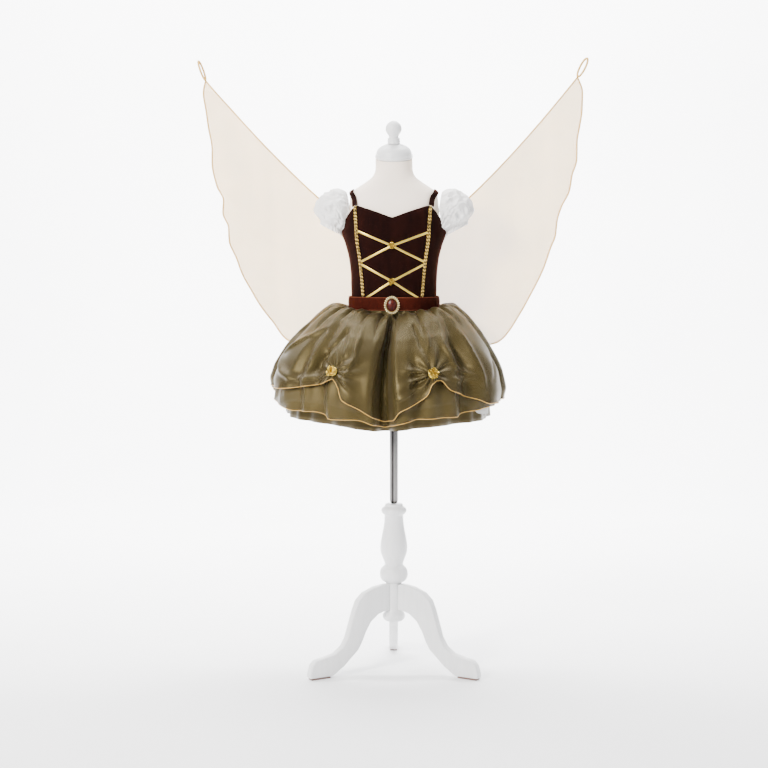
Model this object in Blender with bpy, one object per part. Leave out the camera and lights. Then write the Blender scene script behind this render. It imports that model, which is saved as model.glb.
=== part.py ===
"""A child's fairy costume on a limbless dress form with a turned tripod stand.

Metres, +Z up. The origin is on the floor under the pole, and the front looks along -Y.
The form and the costume are built square to the axes and hang from one empty, which turns
them a little on the stand. Angles run round the body from the front (0) to the wearer's
left, which is +X (90 degrees), and on to the centre back (180 degrees).
"""

import math

import bmesh
import bpy
from mathutils import Matrix, Vector

MM = 0.001
FORM_TURN = math.radians(-3.4)
SEAM_GAP = 0.3 * MM

# Walls of cloth
BODICE_WALL = 1.5 * MM
SKIRT_WALL = 1.1 * MM
BELT_WALL = 1.6 * MM
PUFF_WALL = 1.0 * MM
WING_WALL = 1.2 * MM
TRIM_WALL = 1.2 * MM
TRIM_LIFT = 0.6 * MM
BRAID_LIFT = 0.4 * MM

# Levels
WAIST = 0.857
BELT_BOTTOM = 0.841
BELT_TOP = 0.871
POLE_RADIUS = 10 * MM

# The shape of a ring round the body: 2 is an ellipse, more is squarer
BODY_SQUARENESS = 2.3
SKIRT_SQUARENESS = 2.0

# The form: level, half width, half depth
TORSO = (
    (0.700, 0.100, 0.080),
    (0.715, 0.104, 0.084),
    (0.770, 0.1035, 0.0830),
    (0.800, 0.0965, 0.0765),
    (0.825, 0.0940, 0.0740),
    (0.857, 0.0940, 0.0740),
    (0.900, 0.0945, 0.0750),
    (0.950, 0.0980, 0.0780),
    (1.000, 0.1040, 0.0810),
    (1.035, 0.1040, 0.0800),
    (1.065, 0.1030, 0.0750),
    (1.090, 0.1005, 0.0660),
    (1.105, 0.0960, 0.0560),
    (1.118, 0.0800, 0.0500),
    (1.130, 0.0620, 0.0450),
    (1.145, 0.0470, 0.0420),
    (1.160, 0.0425, 0.0410),
    (1.184, 0.0420, 0.0410),
)
TORSO_LEVELS = (
    0.700, 0.720, 0.770, 0.800, 0.825, 0.857, 0.905, 0.955, 1.000, 1.035, 1.065, 1.090, 1.105, 1.118,
    1.130, 1.145, 1.160, 1.184,
)
NECK_TILT = math.radians(13)
NECK_LEAN = -0.004

# The bodice's own rings, which stand off the form under the arms
BODICE = (
    (0.8585, 0.0964, 0.0764),
    (0.873, 0.0975, 0.0768),
    (0.920, 0.0990, 0.0790),
    (0.959, 0.1035, 0.0812),
    (0.990, 0.1115, 0.0832),
    (1.015, 0.1190, 0.0836),
    (1.040, 0.1185, 0.0820),
    (1.062, 0.1130, 0.0790),
    (1.080, 0.1075, 0.0730),
)
BODICE_BOTTOM = 0.8585

# The bodice's top edge: angle from the front, level
BODICE_TOP = (
    (0, 1.052), (14, 1.060), (28, 1.069), (46, 1.077), (55, 1.068), (64, 1.048), (74, 1.034), (90, 1.014),
    (106, 1.032), (118, 1.050), (127, 1.067), (136, 1.074), (158, 1.070), (180, 1.066),
)

# The braid's middle line: level, distance from the centre front
BRAID_LINE = (
    (0.872, 0.0664), (0.920, 0.0703), (0.9585, 0.0742), (1.003, 0.0805), (1.035, 0.0825), (1.075, 0.0850),
)
BRAID_WIDTH = 9 * MM
RIBBON_WIDTH = 7.3 * MM


def clear_scene():
    for item in list(bpy.data.objects):
        bpy.data.objects.remove(item, do_unlink=True)


def material(name, colour, roughness, metallic=0.0):
    """A Principled material of one plain colour."""
    made = bpy.data.materials.new(name)
    made.use_nodes = True
    shader = made.node_tree.nodes["Principled BSDF"]
    shader.inputs["Base Color"].default_value = (*colour, 1.0)
    shader.inputs["Roughness"].default_value = roughness
    shader.inputs["Metallic"].default_value = metallic
    return made


def read_table(rows, x):
    """The columns after the first, at x, on a smooth curve through the rows."""
    if x <= rows[0][0]:
        return rows[0][1:]
    if x >= rows[-1][0]:
        return rows[-1][1:]
    last = len(rows) - 1
    i = max(k for k in range(last) if rows[k][0] <= x)
    before, low, high, after = rows[max(i - 1, 0)], rows[i], rows[i + 1], rows[min(i + 2, last)]
    span = high[0] - low[0]
    s = (x - low[0]) / span
    values = []
    for c in range(1, len(low)):
        slope = (high[c] - low[c]) / span
        into = limited((low[c] - before[c]) / (low[0] - before[0]) if i > 0 else slope, slope)
        out = limited((after[c] - high[c]) / (after[0] - high[0]) if i + 2 <= last else slope, slope)
        values.append(
            low[c] * (1 + 2 * s) * (1 - s) ** 2
            + span * into * s * (1 - s) ** 2
            + high[c] * s * s * (3 - 2 * s)
            + span * out * s * s * (s - 1)
        )
    return tuple(values)


def limited(neighbour, slope):
    """A slope between two stretches that never overshoots: zero at a peak, else their harmonic mean."""
    if neighbour * slope <= 0:
        return 0.0
    return 2 * neighbour * slope / (neighbour + slope)


def smooth_step(low, high, x):
    s = min(max((x - low) / (high - low), 0.0), 1.0)
    return s * s * (3 - 2 * s)


def lerp(a, b, s):
    return a + (b - a) * s


def signed_power(x, power):
    return math.copysign(abs(x) ** power, x)


def ring_point(angle, half_width, half_depth, level, squareness=BODY_SQUARENESS):
    """A point of a ring round the body, at an angle in degrees from the front."""
    a = math.radians(angle)
    return Vector((
        half_width * signed_power(math.sin(a), 2 / squareness),
        -half_depth * signed_power(math.cos(a), 2 / squareness),
        level,
    ))


def on_rings(rows, angle, level, out=0.0):
    """A point of the surface that the rings span, moved out along the surface's normal."""
    here = ring_point(angle, *read_table(rows, level), level)
    if not out:
        return here
    step = 1.0
    rise = 0.5 * MM
    round_it = (
        ring_point(angle + step, *read_table(rows, level), level)
        - ring_point(angle - step, *read_table(rows, level), level)
    )
    up = (
        ring_point(angle, *read_table(rows, level + rise), level + rise)
        - ring_point(angle, *read_table(rows, level - rise), level - rise)
    )
    return here + round_it.cross(up).normalized() * out


def angle_at(rows, x, level):
    """The angle from the front at which a ring is x from the middle plane."""
    half_width = read_table(rows, level)[0]
    share = min(abs(x) / half_width, 1.0) ** (BODY_SQUARENESS / 2)
    return math.copysign(math.degrees(math.asin(share)), x)


def add_object(name, mesh, look, parent=None, smooth=60):
    thing = bpy.data.objects.new(name, mesh)
    bpy.context.scene.collection.objects.link(thing)
    mesh.materials.append(look)
    mesh.shade_smooth()
    mesh.set_sharp_from_angle(angle=math.radians(smooth))
    thing.parent = parent
    return thing


def mesh_from(name, bm):
    bmesh.ops.recalc_face_normals(bm, faces=bm.faces)
    mesh = bpy.data.meshes.new(name)
    bm.to_mesh(mesh)
    bm.free()
    return mesh


def turned(name, profile, segments, look, parent=None, tilt=0.0, at=(0, 0, 0)):
    """A solid turned about the Z axis from (radius, level) rows, tilted forward and then placed."""
    bm = bmesh.new()
    line = [bm.verts.new((radius, 0, level)) for radius, level in profile]
    edges = [bm.edges.new(pair) for pair in zip(line, line[1:])]
    bmesh.ops.spin(
        bm, geom=line + edges, cent=(0, 0, 0), axis=(0, 0, 1), angle=math.tau, steps=segments, use_merge=True
    )
    bmesh.ops.remove_doubles(bm, verts=bm.verts, dist=0.01 * MM)
    bmesh.ops.transform(bm, matrix=Matrix.Translation(at) @ Matrix.Rotation(tilt, 4, "X"), verts=bm.verts)
    return add_object(name, mesh_from(name, bm), look, parent, smooth=35)


def grid_mesh(name, point, columns, rows, closed=False):
    """A sheet of quads through point(u, v), with u across and v from the top down, facing out."""
    bm = bmesh.new()
    across = columns if closed else columns + 1
    lines = [[bm.verts.new(point(i / columns, j / rows)) for i in range(across)] for j in range(rows + 1)]
    for high, low in zip(lines, lines[1:]):
        for i in range(columns):
            k = (i + 1) % across
            bm.faces.new((high[i], low[i], low[k], high[k]))
    mesh = bpy.data.meshes.new(name)
    bm.to_mesh(mesh)
    bm.free()
    return mesh


def sheet(name, point, columns, rows, wall, look, parent, closed=False, even=True):
    """A wall of cloth: the outer surface is point(u, v), and the thickness goes inwards."""
    thing = add_object(name, grid_mesh(name, point, columns, rows, closed), look, parent)
    solid = thing.modifiers.new("Wall", "SOLIDIFY")
    solid.thickness = wall
    solid.offset = -1
    solid.use_even_offset = even
    return thing


def strip(name, path, wall, look, parent, closed=False):
    """A flat band: path(u) gives its two edge points, and its wall grows inwards from them."""
    columns = path.columns
    return sheet(name, lambda u, v: path(u)[0].lerp(path(u)[1], v), columns, 1, wall, look, parent, closed)


class Route:
    """A band along a line on the rings, given as (x, level, lift) stops, with a width across it."""

    def __init__(self, rows, stops, width, out, columns):
        self.rows, self.stops, self.width, self.out, self.columns = rows, stops, width, out, columns

    def middle(self, u):
        place = u * (len(self.stops) - 1)
        i = min(int(place), len(self.stops) - 2)
        x, level, lift = (lerp(a, b, place - i) for a, b in zip(self.stops[i], self.stops[i + 1]))
        return on_rings(self.rows, angle_at(self.rows, x, level), level, self.out + lift)

    def __call__(self, u):
        step = 0.02
        along = (self.middle(min(u + step, 1)) - self.middle(max(u - step, 0))).normalized()
        here = self.middle(u)
        outward = Vector((here.x, here.y, 0)).normalized()
        across = along.cross(outward).normalized() * self.width / 2
        return self.moved(here - across, here), self.moved(here + across, here)

    def moved(self, edge, middle):
        """An edge point put back on the surface, as high above it as the middle line is there."""
        flat = on_rings(self.rows, angle_at(self.rows, middle.x, middle.z), middle.z)
        out = (middle - flat).length
        return on_rings(self.rows, angle_at(self.rows, edge.x, edge.z), edge.z, out)


# The form and its stand

def torso_point(u, v):
    level = TORSO_LEVELS[-1 - round(v * (len(TORSO_LEVELS) - 1))]
    point = ring_point(360 * u, *read_table(TORSO, level), level)
    point.y += NECK_LEAN * smooth_step(1.12, 1.184, level)
    return point


def build_torso(look, parent):
    """A closed body with a flat bottom; the top ring is tilted with the neck."""
    columns = 30
    mesh = grid_mesh("torso", torso_point, columns, len(TORSO_LEVELS) - 1, closed=True)
    bm = bmesh.new()
    bm.from_mesh(mesh)
    top = [vert for vert in bm.verts if vert.co.z > TORSO_LEVELS[-1] - 0.1 * MM]
    pivot = Vector((0, NECK_LEAN, TORSO_LEVELS[-1]))
    bmesh.ops.rotate(bm, verts=top, cent=pivot, matrix=Matrix.Rotation(NECK_TILT, 3, "X"))
    bmesh.ops.holes_fill(bm, edges=bm.edges, sides=0)
    bpy.data.meshes.remove(mesh)
    add_object("torso", mesh_from("torso", bm), look, parent)


CAP_PROFILE = (
    (0.0, 0.0), (0.0400, 0.0), (0.0428, 0.003), (0.0428, 0.009), (0.0405, 0.0115), (0.0405, 0.015),
    (0.0390, 0.019), (0.0350, 0.0245), (0.0290, 0.0285), (0.0210, 0.0315), (0.0150, 0.0350), (0.0, 0.0350),
)
FINIAL_PROFILE = (
    (0.0, 0.0), (0.0140, 0.0), (0.0150, 0.004), (0.0135, 0.007), (0.0145, 0.011), (0.0100, 0.0145),
    (0.0130, 0.0205), (0.0175, 0.0265), (0.0190, 0.0335), (0.0175, 0.0405), (0.0130, 0.0465), (0.0070, 0.0505),
    (0.0, 0.0520),
)
COLUMN_PROFILE = (
    (0.0, 0.389), (0.0205, 0.389), (0.0215, 0.386), (0.0250, 0.3815), (0.0297, 0.373), (0.0250, 0.3625),
    (0.0217, 0.357), (0.0240, 0.336), (0.0290, 0.312), (0.0322, 0.287), (0.0300, 0.270), (0.0226, 0.252),
    (0.0213, 0.244), (0.0275, 0.236), (0.0330, 0.223), (0.0300, 0.212), (0.0240, 0.207), (0.0155, 0.205),
    (0.0155, 0.136), (0.0260, 0.128), (0.0260, 0.120), (0.0200, 0.114), (0.0, 0.114),
)
LEG_TOP = (
    (0.0290, 0.2020), (0.0557, 0.1975), (0.0825, 0.1870), (0.0993, 0.1710), (0.1090, 0.1480), (0.1190, 0.1166),
    (0.1277, 0.0876), (0.1396, 0.0680), (0.1595, 0.0540), (0.1890, 0.0475), (0.2090, 0.0440), (0.2190, 0.0335),
    (0.2250, 0.0140), (0.2250, 0.0040),
)
LEG_UNDER = (
    (0.1660, 0.0040), (0.1367, 0.0234), (0.1167, 0.0420), (0.0998, 0.0570), (0.0895, 0.0740), (0.0794, 0.0970),
    (0.0660, 0.1190), (0.0458, 0.1350), (0.0290, 0.1400),
)
LEG_THICKNESS = 21 * MM
LEG_ROOT = 15.9 * MM
PAD_HEIGHT = 3.6 * MM
PAD_FROM = 0.172
PAD_TO = 0.221
PAD_WIDTH = 17 * MM
LEG_AZIMUTHS = (("front_right", -60), ("front_left", 60), ("back", 180))


def build_stand(paint, chrome, felt):
    turned("stand_column", COLUMN_PROFILE, 20, paint)
    pole_foot = COLUMN_PROFILE[0][1] + SEAM_GAP
    pole_top = TORSO[0][0] - SEAM_GAP
    pole = ((0.0, pole_top), (POLE_RADIUS, pole_top), (POLE_RADIUS, pole_foot), (0.0, pole_foot))
    turned("stand_pole", pole, 20, chrome)
    for side, azimuth in LEG_AZIMUTHS:
        turn = Matrix.Rotation(math.radians(azimuth), 4, "Z") @ Matrix.Rotation(math.radians(-90), 4, "Z")
        build_leg("stand_leg_" + side, turn, paint)
        build_pad("stand_pad_" + side, turn, felt)


def build_leg(name, turn, look):
    """A board cut to the leg's outline, which runs out along +X, with its long edges bevelled."""
    bm = bmesh.new()
    root = [(LEG_ROOT, LEG_TOP[0][1]), *LEG_TOP, *LEG_UNDER, (LEG_ROOT, LEG_UNDER[-1][1])]
    outline = [bm.verts.new((x, -LEG_THICKNESS / 2, z)) for x, z in root]
    board = bm.faces.new(outline)
    moved = bmesh.ops.extrude_face_region(bm, geom=[board])["geom"]
    far = [item for item in moved if isinstance(item, bmesh.types.BMVert)]
    bmesh.ops.translate(bm, verts=far, vec=(0, LEG_THICKNESS, 0))
    bmesh.ops.transform(bm, matrix=turn, verts=bm.verts)
    add_object(name, mesh_from(name, bm), look, smooth=35)


def build_pad(name, turn, look):
    bm = bmesh.new()
    size = Matrix.Diagonal((PAD_TO - PAD_FROM, PAD_WIDTH, PAD_HEIGHT, 1))
    place = Matrix.Translation(((PAD_FROM + PAD_TO) / 2, 0, PAD_HEIGHT / 2))
    bmesh.ops.create_cube(bm, size=1, matrix=turn @ place @ size)
    add_object(name, mesh_from(name, bm), look)


# The bodice

def braid_angle(level):
    return angle_at(BODICE, read_table(BRAID_LINE, level)[0], level)


def bodice_top(angle):
    return read_table(BODICE_TOP, abs((angle + 180) % 360 - 180))[0]


def bodice_panel(name, start, end, columns, rows, look, parent):
    """One panel between two seams, each given as its angle at a level, and a gap wide at each."""

    def point(u, v):
        guess = lerp(bodice_top(lerp(start(1.0), end(1.0), u)), BODICE_BOTTOM, v)
        gap = math.degrees(SEAM_GAP / 2 / 0.095)
        angle = lerp(start(guess) + gap, end(guess) - gap, u)
        return ring_point(angle, *read_table(BODICE, level_at(angle, v)), level_at(angle, v))

    def level_at(angle, v):
        return lerp(bodice_top(angle), BODICE_BOTTOM, v)

    sheet(name, point, columns, rows, BODICE_WALL, look, parent)


def build_bodice(velvet, parent):
    bodice_panel("bodice_front", lambda z: -braid_angle(z), braid_angle, 12, 8, velvet, parent)
    bodice_panel("bodice_side_left", braid_angle, lambda z: 90, 8, 8, velvet, parent)
    bodice_panel("bodice_side_right", lambda z: -90, lambda z: -braid_angle(z), 8, 8, velvet, parent)
    bodice_panel("bodice_back_left", lambda z: 90, lambda z: 180, 10, 6, velvet, parent)
    bodice_panel("bodice_back_right", lambda z: -180, lambda z: -90, 10, 6, velvet, parent)
    for side, sign in (("left", 1), ("right", -1)):
        build_strap("strap_" + side, sign, velvet, parent)


# The strap's two edges on the form: angle and level of the neck edge, then of the arm edge
STRAP_EDGES = (
    (0.00, 47.0, 1.0795, 57.0, 1.0745),
    (0.12, 52.0, 1.0910, 63.0, 1.0850),
    (0.25, 60.0, 1.1010, 70.0, 1.0945),
    (0.38, 74.0, 1.1090, 80.0, 1.1010),
    (0.50, 90.0, 1.1115, 90.0, 1.1030),
    (0.62, 106.0, 1.1090, 100.0, 1.1010),
    (0.75, 120.0, 1.1010, 110.0, 1.0945),
    (0.88, 128.0, 1.0910, 117.0, 1.0850),
    (1.00, 134.0, 1.0780, 124.0, 1.0735),
)
STRAP_LIFT = 3.2 * MM


def build_strap(name, sign, look, parent):
    def edges(u):
        inner_angle, inner_level, outer_angle, outer_level = read_table(STRAP_EDGES, u)
        ends = STRAP_LIFT + 3.6 * MM * (1 - smooth_step(0.0, 0.2, min(u, 1 - u)))
        inner = on_rings(TORSO, sign * inner_angle, inner_level, ends)
        outer = on_rings(TORSO, sign * outer_angle, outer_level, ends)
        return (inner, outer) if sign > 0 else (outer, inner)

    edges.columns = 12
    strip(name, edges, BODICE_WALL, look, parent)


def build_braids(gold, parent):
    for side, sign in (("left", 1), ("right", -1)):
        def edges(u, sign=sign):
            level = lerp(BELT_TOP + 1 * MM, bodice_top(sign * braid_angle(1.07)) - 1 * MM, u)
            middle = sign * braid_angle(level)
            half = math.degrees(BRAID_WIDTH / 2 / 0.1)
            out = BRAID_LIFT + TRIM_WALL
            return on_rings(BODICE, middle + half, level, out), on_rings(BODICE, middle - half, level, out)

        edges.columns = 11
        strip("braid_" + side, edges, TRIM_WALL, gold, parent)


# Lacing: name, then x and level where it starts, crosses and ends (x is the wearer's left)
LACING = (
    ("lacing_1", -0.0740, 1.0170, 0.0, 0.9870, 0.0650, 0.9530, 0),
    ("lacing_2", 0.0740, 1.0150, 0.0, 0.9870, -0.0650, 0.9530, 1),
    ("lacing_3", -0.0650, 0.9420, 0.0, 0.9060, 0.0610, 0.8760, 0),
    ("lacing_4", 0.0650, 0.9420, 0.0, 0.9060, -0.0610, 0.8760, 1),
)
KNOT_LEVELS = (("knot_top", 0.9870), ("knot_bottom", 0.9060))


def build_lacing(gold, parent):
    for name, x0, z0, x1, z1, x2, z2, over in LACING:
        step = (TRIM_WALL + SEAM_GAP) * over
        stops = [
            (x0, z0, 0), (lerp(x0, x1, 0.5), lerp(z0, z1, 0.5), 0), (lerp(x0, x1, 0.85), lerp(z0, z1, 0.85), step),
            (x1, z1, step),
            (lerp(x2, x1, 0.85), lerp(z2, z1, 0.85), step), (lerp(x2, x1, 0.5), lerp(z2, z1, 0.5), 0), (x2, z2, 0),
        ]
        route = Route(BODICE, stops, RIBBON_WIDTH, TRIM_LIFT + TRIM_WALL, 12)
        if x0 > 0:
            route.stops.reverse()
        strip(name, route, TRIM_WALL, gold, parent)
    for name, level in KNOT_LEVELS:
        out = TRIM_LIFT + 2 * TRIM_WALL + 3 * SEAM_GAP + 0.3 * MM
        build_rosette(name, on_rings(BODICE, 0, level, out), 0.0, 0.0, 19 * MM, 8 * MM, 5, gold, parent)


def build_rosette(name, at, turn, lean, width, height, lobes, look, parent):
    """A ribbon rose or knot: a low dome with rounded lobes, flat behind, facing -Y before it is turned."""
    bm = bmesh.new()
    rings, around = 4, lobes * 4
    back = [bm.verts.new((0, 0, 0))]
    lines = []
    for j in range(rings):
        share = 1 - j / rings
        rise = height * math.sin(math.radians(90 * j / rings))
        line = []
        for i in range(around):
            a = math.tau * i / around
            wave = 1 + 0.10 * math.cos(lobes * a + 1.3 * j)
            radius = width / 2 * math.sqrt(share) * wave
            line.append(bm.verts.new((radius * math.cos(a), -rise, radius * math.sin(a))))
        lines.append(line)
    tip = bm.verts.new((0, -height, 0))
    for i in range(around):
        k = (i + 1) % around
        bm.faces.new((back[0], lines[0][i], lines[0][k]))
        bm.faces.new((tip, lines[-1][k], lines[-1][i]))
        for low, high in zip(lines, lines[1:]):
            bm.faces.new((low[i], high[i], high[k], low[k]))
    place = Matrix.Translation(at) @ Matrix.Rotation(turn, 4, "Z") @ Matrix.Rotation(lean, 4, "X")
    bmesh.ops.transform(bm, matrix=place, verts=bm.verts)
    add_object(name, mesh_from(name, bm), look, parent)


# The belt and its buckle

BELT_OUT = 9.6 * MM
BUCKLE_LEVEL = 0.8535
BUCKLE_HALF_WIDTH = 0.0150
BUCKLE_HALF_HEIGHT = 0.0180
BUCKLE_RIM = 3.0 * MM
BUCKLE_SEAT = 0.2 * MM
STONE_HALF_WIDTH = 0.0110
STONE_HALF_HEIGHT = 0.0140


def waist_ring(angle, level, out):
    """The waist's ring at any level of the belt, so that all that is stacked there nests."""
    half_width, half_depth = read_table(TORSO, WAIST)
    return ring_point(angle, half_width + out, half_depth + out, level)


def build_belt(velvet, parent):
    def point(u, v):
        return waist_ring(360 * u, lerp(BELT_TOP, BELT_BOTTOM, v), BELT_OUT + 1.2 * MM * math.sin(math.pi * v))

    sheet("belt", point, 40, 2, BELT_WALL, velvet, parent, closed=True)


def build_buckle(metal, stone, parent):
    """An oval ring of beads, whose middle line is a curve, round an oval stone with a flat back."""
    front = waist_ring(0, BUCKLE_LEVEL, BELT_OUT + 1.2 * MM).y
    rim_middle = front - BUCKLE_RIM + BUCKLE_SEAT
    line = bpy.data.curves.new("buckle_ring", "CURVE")
    line.dimensions = "3D"
    spline = line.splines.new("POLY")
    points = 24
    spline.points.add(points - 1)
    for i, knot in enumerate(spline.points):
        a = math.tau * i / points
        x, z = BUCKLE_HALF_WIDTH * math.cos(a), BUCKLE_LEVEL + BUCKLE_HALF_HEIGHT * math.sin(a)
        knot.co = (x, rim_middle, z, 1)
    spline.use_cyclic_u = True
    line.bevel_depth = BUCKLE_RIM
    line.bevel_resolution = 2
    line.materials.append(metal)
    ring = bpy.data.objects.new("buckle_ring", line)
    bpy.context.scene.collection.objects.link(ring)
    ring.parent = parent
    profile = ((0.0, 0.0), (0.92, 0.0), (1.0, 0.22), (0.86, 0.55), (0.55, 0.85), (0.0, 1.0))
    bm = bmesh.new()
    line = [bm.verts.new((radius, 0, level)) for radius, level in profile]
    edges = [bm.edges.new(pair) for pair in zip(line, line[1:])]
    bmesh.ops.spin(
        bm, geom=line + edges, cent=(0, 0, 0), axis=(0, 0, 1), angle=math.tau, steps=16, use_merge=True
    )
    bmesh.ops.remove_doubles(bm, verts=bm.verts, dist=0.0001)
    size = Matrix.Diagonal((STONE_HALF_WIDTH, STONE_HALF_HEIGHT, 5.0 * MM, 1))
    face_front = Matrix.Rotation(math.radians(90), 4, "X")
    place = Matrix.Translation((0, front - SEAM_GAP, BUCKLE_LEVEL))
    bmesh.ops.transform(bm, matrix=place @ face_front @ size, verts=bm.verts)
    add_object("buckle_stone", mesh_from("buckle_stone", bm), stone, parent)


# The skirt: four layers hung from one waist seam, all with the same folds

# Its upper part, for the top layer: share of the length, level, spread past the waist's width and
# depth, shift of the middle, and how far it puffs up at the sides
SKIRT_UPPER = (
    (0.00, 0.8565, 0.000, 0.000, 0.000, 0.000),
    (0.07, 0.8375, 0.000, 0.000, 0.000, 0.000),
    (0.10, 0.8362, 0.005, 0.005, 0.000, 0.001),
    (0.14, 0.8372, 0.014, 0.012, -0.001, 0.009),
    (0.20, 0.8330, 0.036, 0.032, -0.002, 0.018),
    (0.28, 0.8180, 0.064, 0.058, -0.004, 0.017),
    (0.40, 0.7860, 0.104, 0.096, -0.007, 0.008),
)
UPPER_END = 0.40
LONGEST_HEM = 0.590

# Its lower part: level, half width, half depth, shift of the middle
SKIRT_LOWER = (
    (0.560, 0.284, 0.247, -0.013),
    (0.620, 0.281, 0.246, -0.014),
    (0.660, 0.277, 0.243, -0.015),
    (0.680, 0.272, 0.239, -0.015),
    (0.700, 0.265, 0.232, -0.014),
    (0.720, 0.255, 0.223, -0.013),
    (0.740, 0.243, 0.212, -0.012),
    (0.760, 0.229, 0.199, -0.011),
    (0.786, 0.205, 0.177, -0.007),
)

# Folds: angle at the waist and at the hem, half width in degrees, depth (in is minus), where it starts
FOLDS = (
    (0, 1, 7.5, -0.024, 0.12),
    (-24, -17, 11, 0.007, 0.20),
    (-42, -31, 7, -0.016, 0.15),
    (-62, -60, 14, 0.008, 0.20),
    (-48, -45, 6, -0.012, 0.20),
    (-80, -76, 8, -0.014, 0.15),
    (12, 10, 8, 0.005, 0.20),
    (15, 17, 5, -0.009, 0.25),
    (27, 23, 7, 0.008, 0.20),
    (46, 44, 8, -0.020, 0.15),
    (62, 62, 14, 0.008, 0.20),
    (78, 80, 7, -0.012, 0.20),
    (98, 102, 8, -0.015, 0.15),
    (118, 121, 8, -0.016, 0.20),
    (140, 142, 9, -0.014, 0.15),
    (160, 163, 8, -0.016, 0.20),
    (180, 180, 9, -0.018, 0.15),
    (-160, -162, 8, -0.014, 0.20),
    (-140, -141, 8, -0.016, 0.15),
    (-120, -119, 9, -0.015, 0.20),
    (-101, -98, 7, -0.013, 0.15),
)
GATHERS = 18
GATHER_DEPTH = 2.2 * MM

# The buckle presses the cloth down in front
BUCKLE_DIP = 8 * MM
BUCKLE_DIP_ANGLE = 16

# Hems: angle from the front, level
OVER_HEM = (
    (-180, 0.625), (-150, 0.688), (-120, 0.645), (-90, 0.665), (-56, 0.669), (-42, 0.677), (-30, 0.686),
    (-24, 0.6975), (-20, 0.681), (-17.5, 0.655), (-10, 0.638), (-6, 0.6275), (1, 0.6105), (5, 0.6147),
    (8, 0.633), (12.5, 0.642), (17, 0.650), (21, 0.665), (24, 0.690), (28, 0.695), (33.5, 0.672),
    (41.5, 0.660), (49.5, 0.649), (57, 0.637), (70, 0.638), (90, 0.637), (120, 0.650), (150, 0.688),
    (180, 0.625),
)
UNDER_HEM = (
    (-180, 0.598), (-150, 0.604), (-120, 0.630), (-90, 0.660), (-70, 0.643), (-58, 0.631), (-50, 0.621),
    (-36, 0.622), (-24, 0.6085), (-12, 0.613), (-4, 0.604), (1, 0.5975), (8, 0.606), (18, 0.612),
    (30, 0.6125), (37, 0.612), (46, 0.620), (56, 0.627), (66, 0.632), (90, 0.636), (120, 0.612),
    (150, 0.602), (180, 0.598),
)
TULLE_HEM = (
    (-180, 0.615), (-100, 0.625), (-78, 0.620), (-66, 0.633), (-45, 0.640), (0, 0.625), (45, 0.640),
    (58, 0.612), (66, 0.610), (76, 0.630), (120, 0.620), (180, 0.615),
)
LINING_HEM = ((-180, 0.592), (-90, 0.603), (0, 0.587), (90, 0.596), (180, 0.592))

# Layers: name, gap out of the form at the waist, how far in it hangs at the hem, drop below the layer
# above it, share of the puff, share of the folds, hem, columns, and where its rows lie
SKIRT_LAYERS = (
    ("overskirt", 7.2, 0, 0.0, 1.0, 1.0, OVER_HEM, 72, (0, .07, .10, .14, .20, .28, .40, .60, .80, 1)),
    ("underskirt", 5.6, 9, 6.0, 0.8, 0.95, UNDER_HEM, 72, (0, .07, .12, .20, .40, .70, 1)),
    ("petticoat", 3.9, 30, 11.0, 0.4, 0.7, TULLE_HEM, 36, (0, .07, .16, .40, .70, 1)),
    ("lining", 2.0, 42, 15.0, 0.0, 0.6, LINING_HEM, 36, (0, .07, .16, .40, .70, 1)),
)


def wrapped(angle):
    return (angle + 180) % 360 - 180


def fold_depth(angle, v):
    """How far the folds push the cloth out, or in, at this angle and share of the length."""
    depth = 0.0
    for top, bottom, half, deep, start in FOLDS:
        away = wrapped(angle - lerp(top, bottom, v))
        if abs(away) < half:
            depth += deep * math.cos(math.pi / 2 * away / half) ** 2 * smooth_step(start, start + 0.45, v)
    return depth


def skirt_point(layer, angle, v):
    name, waist_out, inset, drop, puff, share, hem, columns, rows = layer
    squareness = lerp(BODY_SQUARENESS, SKIRT_SQUARENESS, smooth_step(0.08, UPPER_END, v))
    waist_width, waist_depth = (half + waist_out * MM for half in read_table(TORSO, WAIST))
    side = math.sin(math.radians(angle)) ** 2
    fall = v
    if v <= UPPER_END:
        level, width, depth, middle, lift = read_table(SKIRT_UPPER, v)
        width, depth = waist_width + width, waist_depth + depth
    else:
        s = (v - UPPER_END) / (1 - UPPER_END)
        top = SKIRT_UPPER[-1]
        level = lerp(top[1], read_table(hem, wrapped(angle))[0], s)
        width, depth, middle = read_table(SKIRT_LOWER, level)
        width -= SKIRT_LOWER[-1][1] - (waist_width + top[2])
        depth -= SKIRT_LOWER[-1][2] - (waist_depth + top[3])
        lift = top[5] * (1 - s) ** 2
        fall = lerp(UPPER_END, 1, (top[1] - level) / (top[1] - LONGEST_HEM))
    out = share * fold_depth(angle, fall) - inset * MM * smooth_step(0.06, 0.7, fall)
    waves = smooth_step(0.07, 0.12, v) * (1 - smooth_step(0.18, 0.42, v))
    out += share * GATHER_DEPTH * waves * math.cos(math.radians(GATHERS * angle))
    level += lift * side * puff - drop * MM * smooth_step(0.0, 0.10, v) * (1 - smooth_step(0.4, 0.8, v))
    level -= BUCKLE_DIP * math.exp(-((wrapped(angle) / BUCKLE_DIP_ANGLE) ** 2)) * smooth_step(0.0, 0.07, v)
    point = ring_point(angle, width + out, depth + out, level, squareness)
    point.x += middle
    return point


def build_skirts(looks, parent):
    for layer in SKIRT_LAYERS:
        name, columns, rows = layer[0], layer[-2], layer[-1]

        def point(u, v, layer=layer, rows=rows):
            return skirt_point(layer, 360 * u, rows[round(v * (len(rows) - 1))])

        sheet(name, point, columns, len(rows) - 1, SKIRT_WALL, looks[name], parent, closed=True)


ROSE_LIFT = 2.9 * MM
ROSES = (("rose_right", -24.7, 0.713), ("rose_left", 24.2, 0.709))


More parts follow.
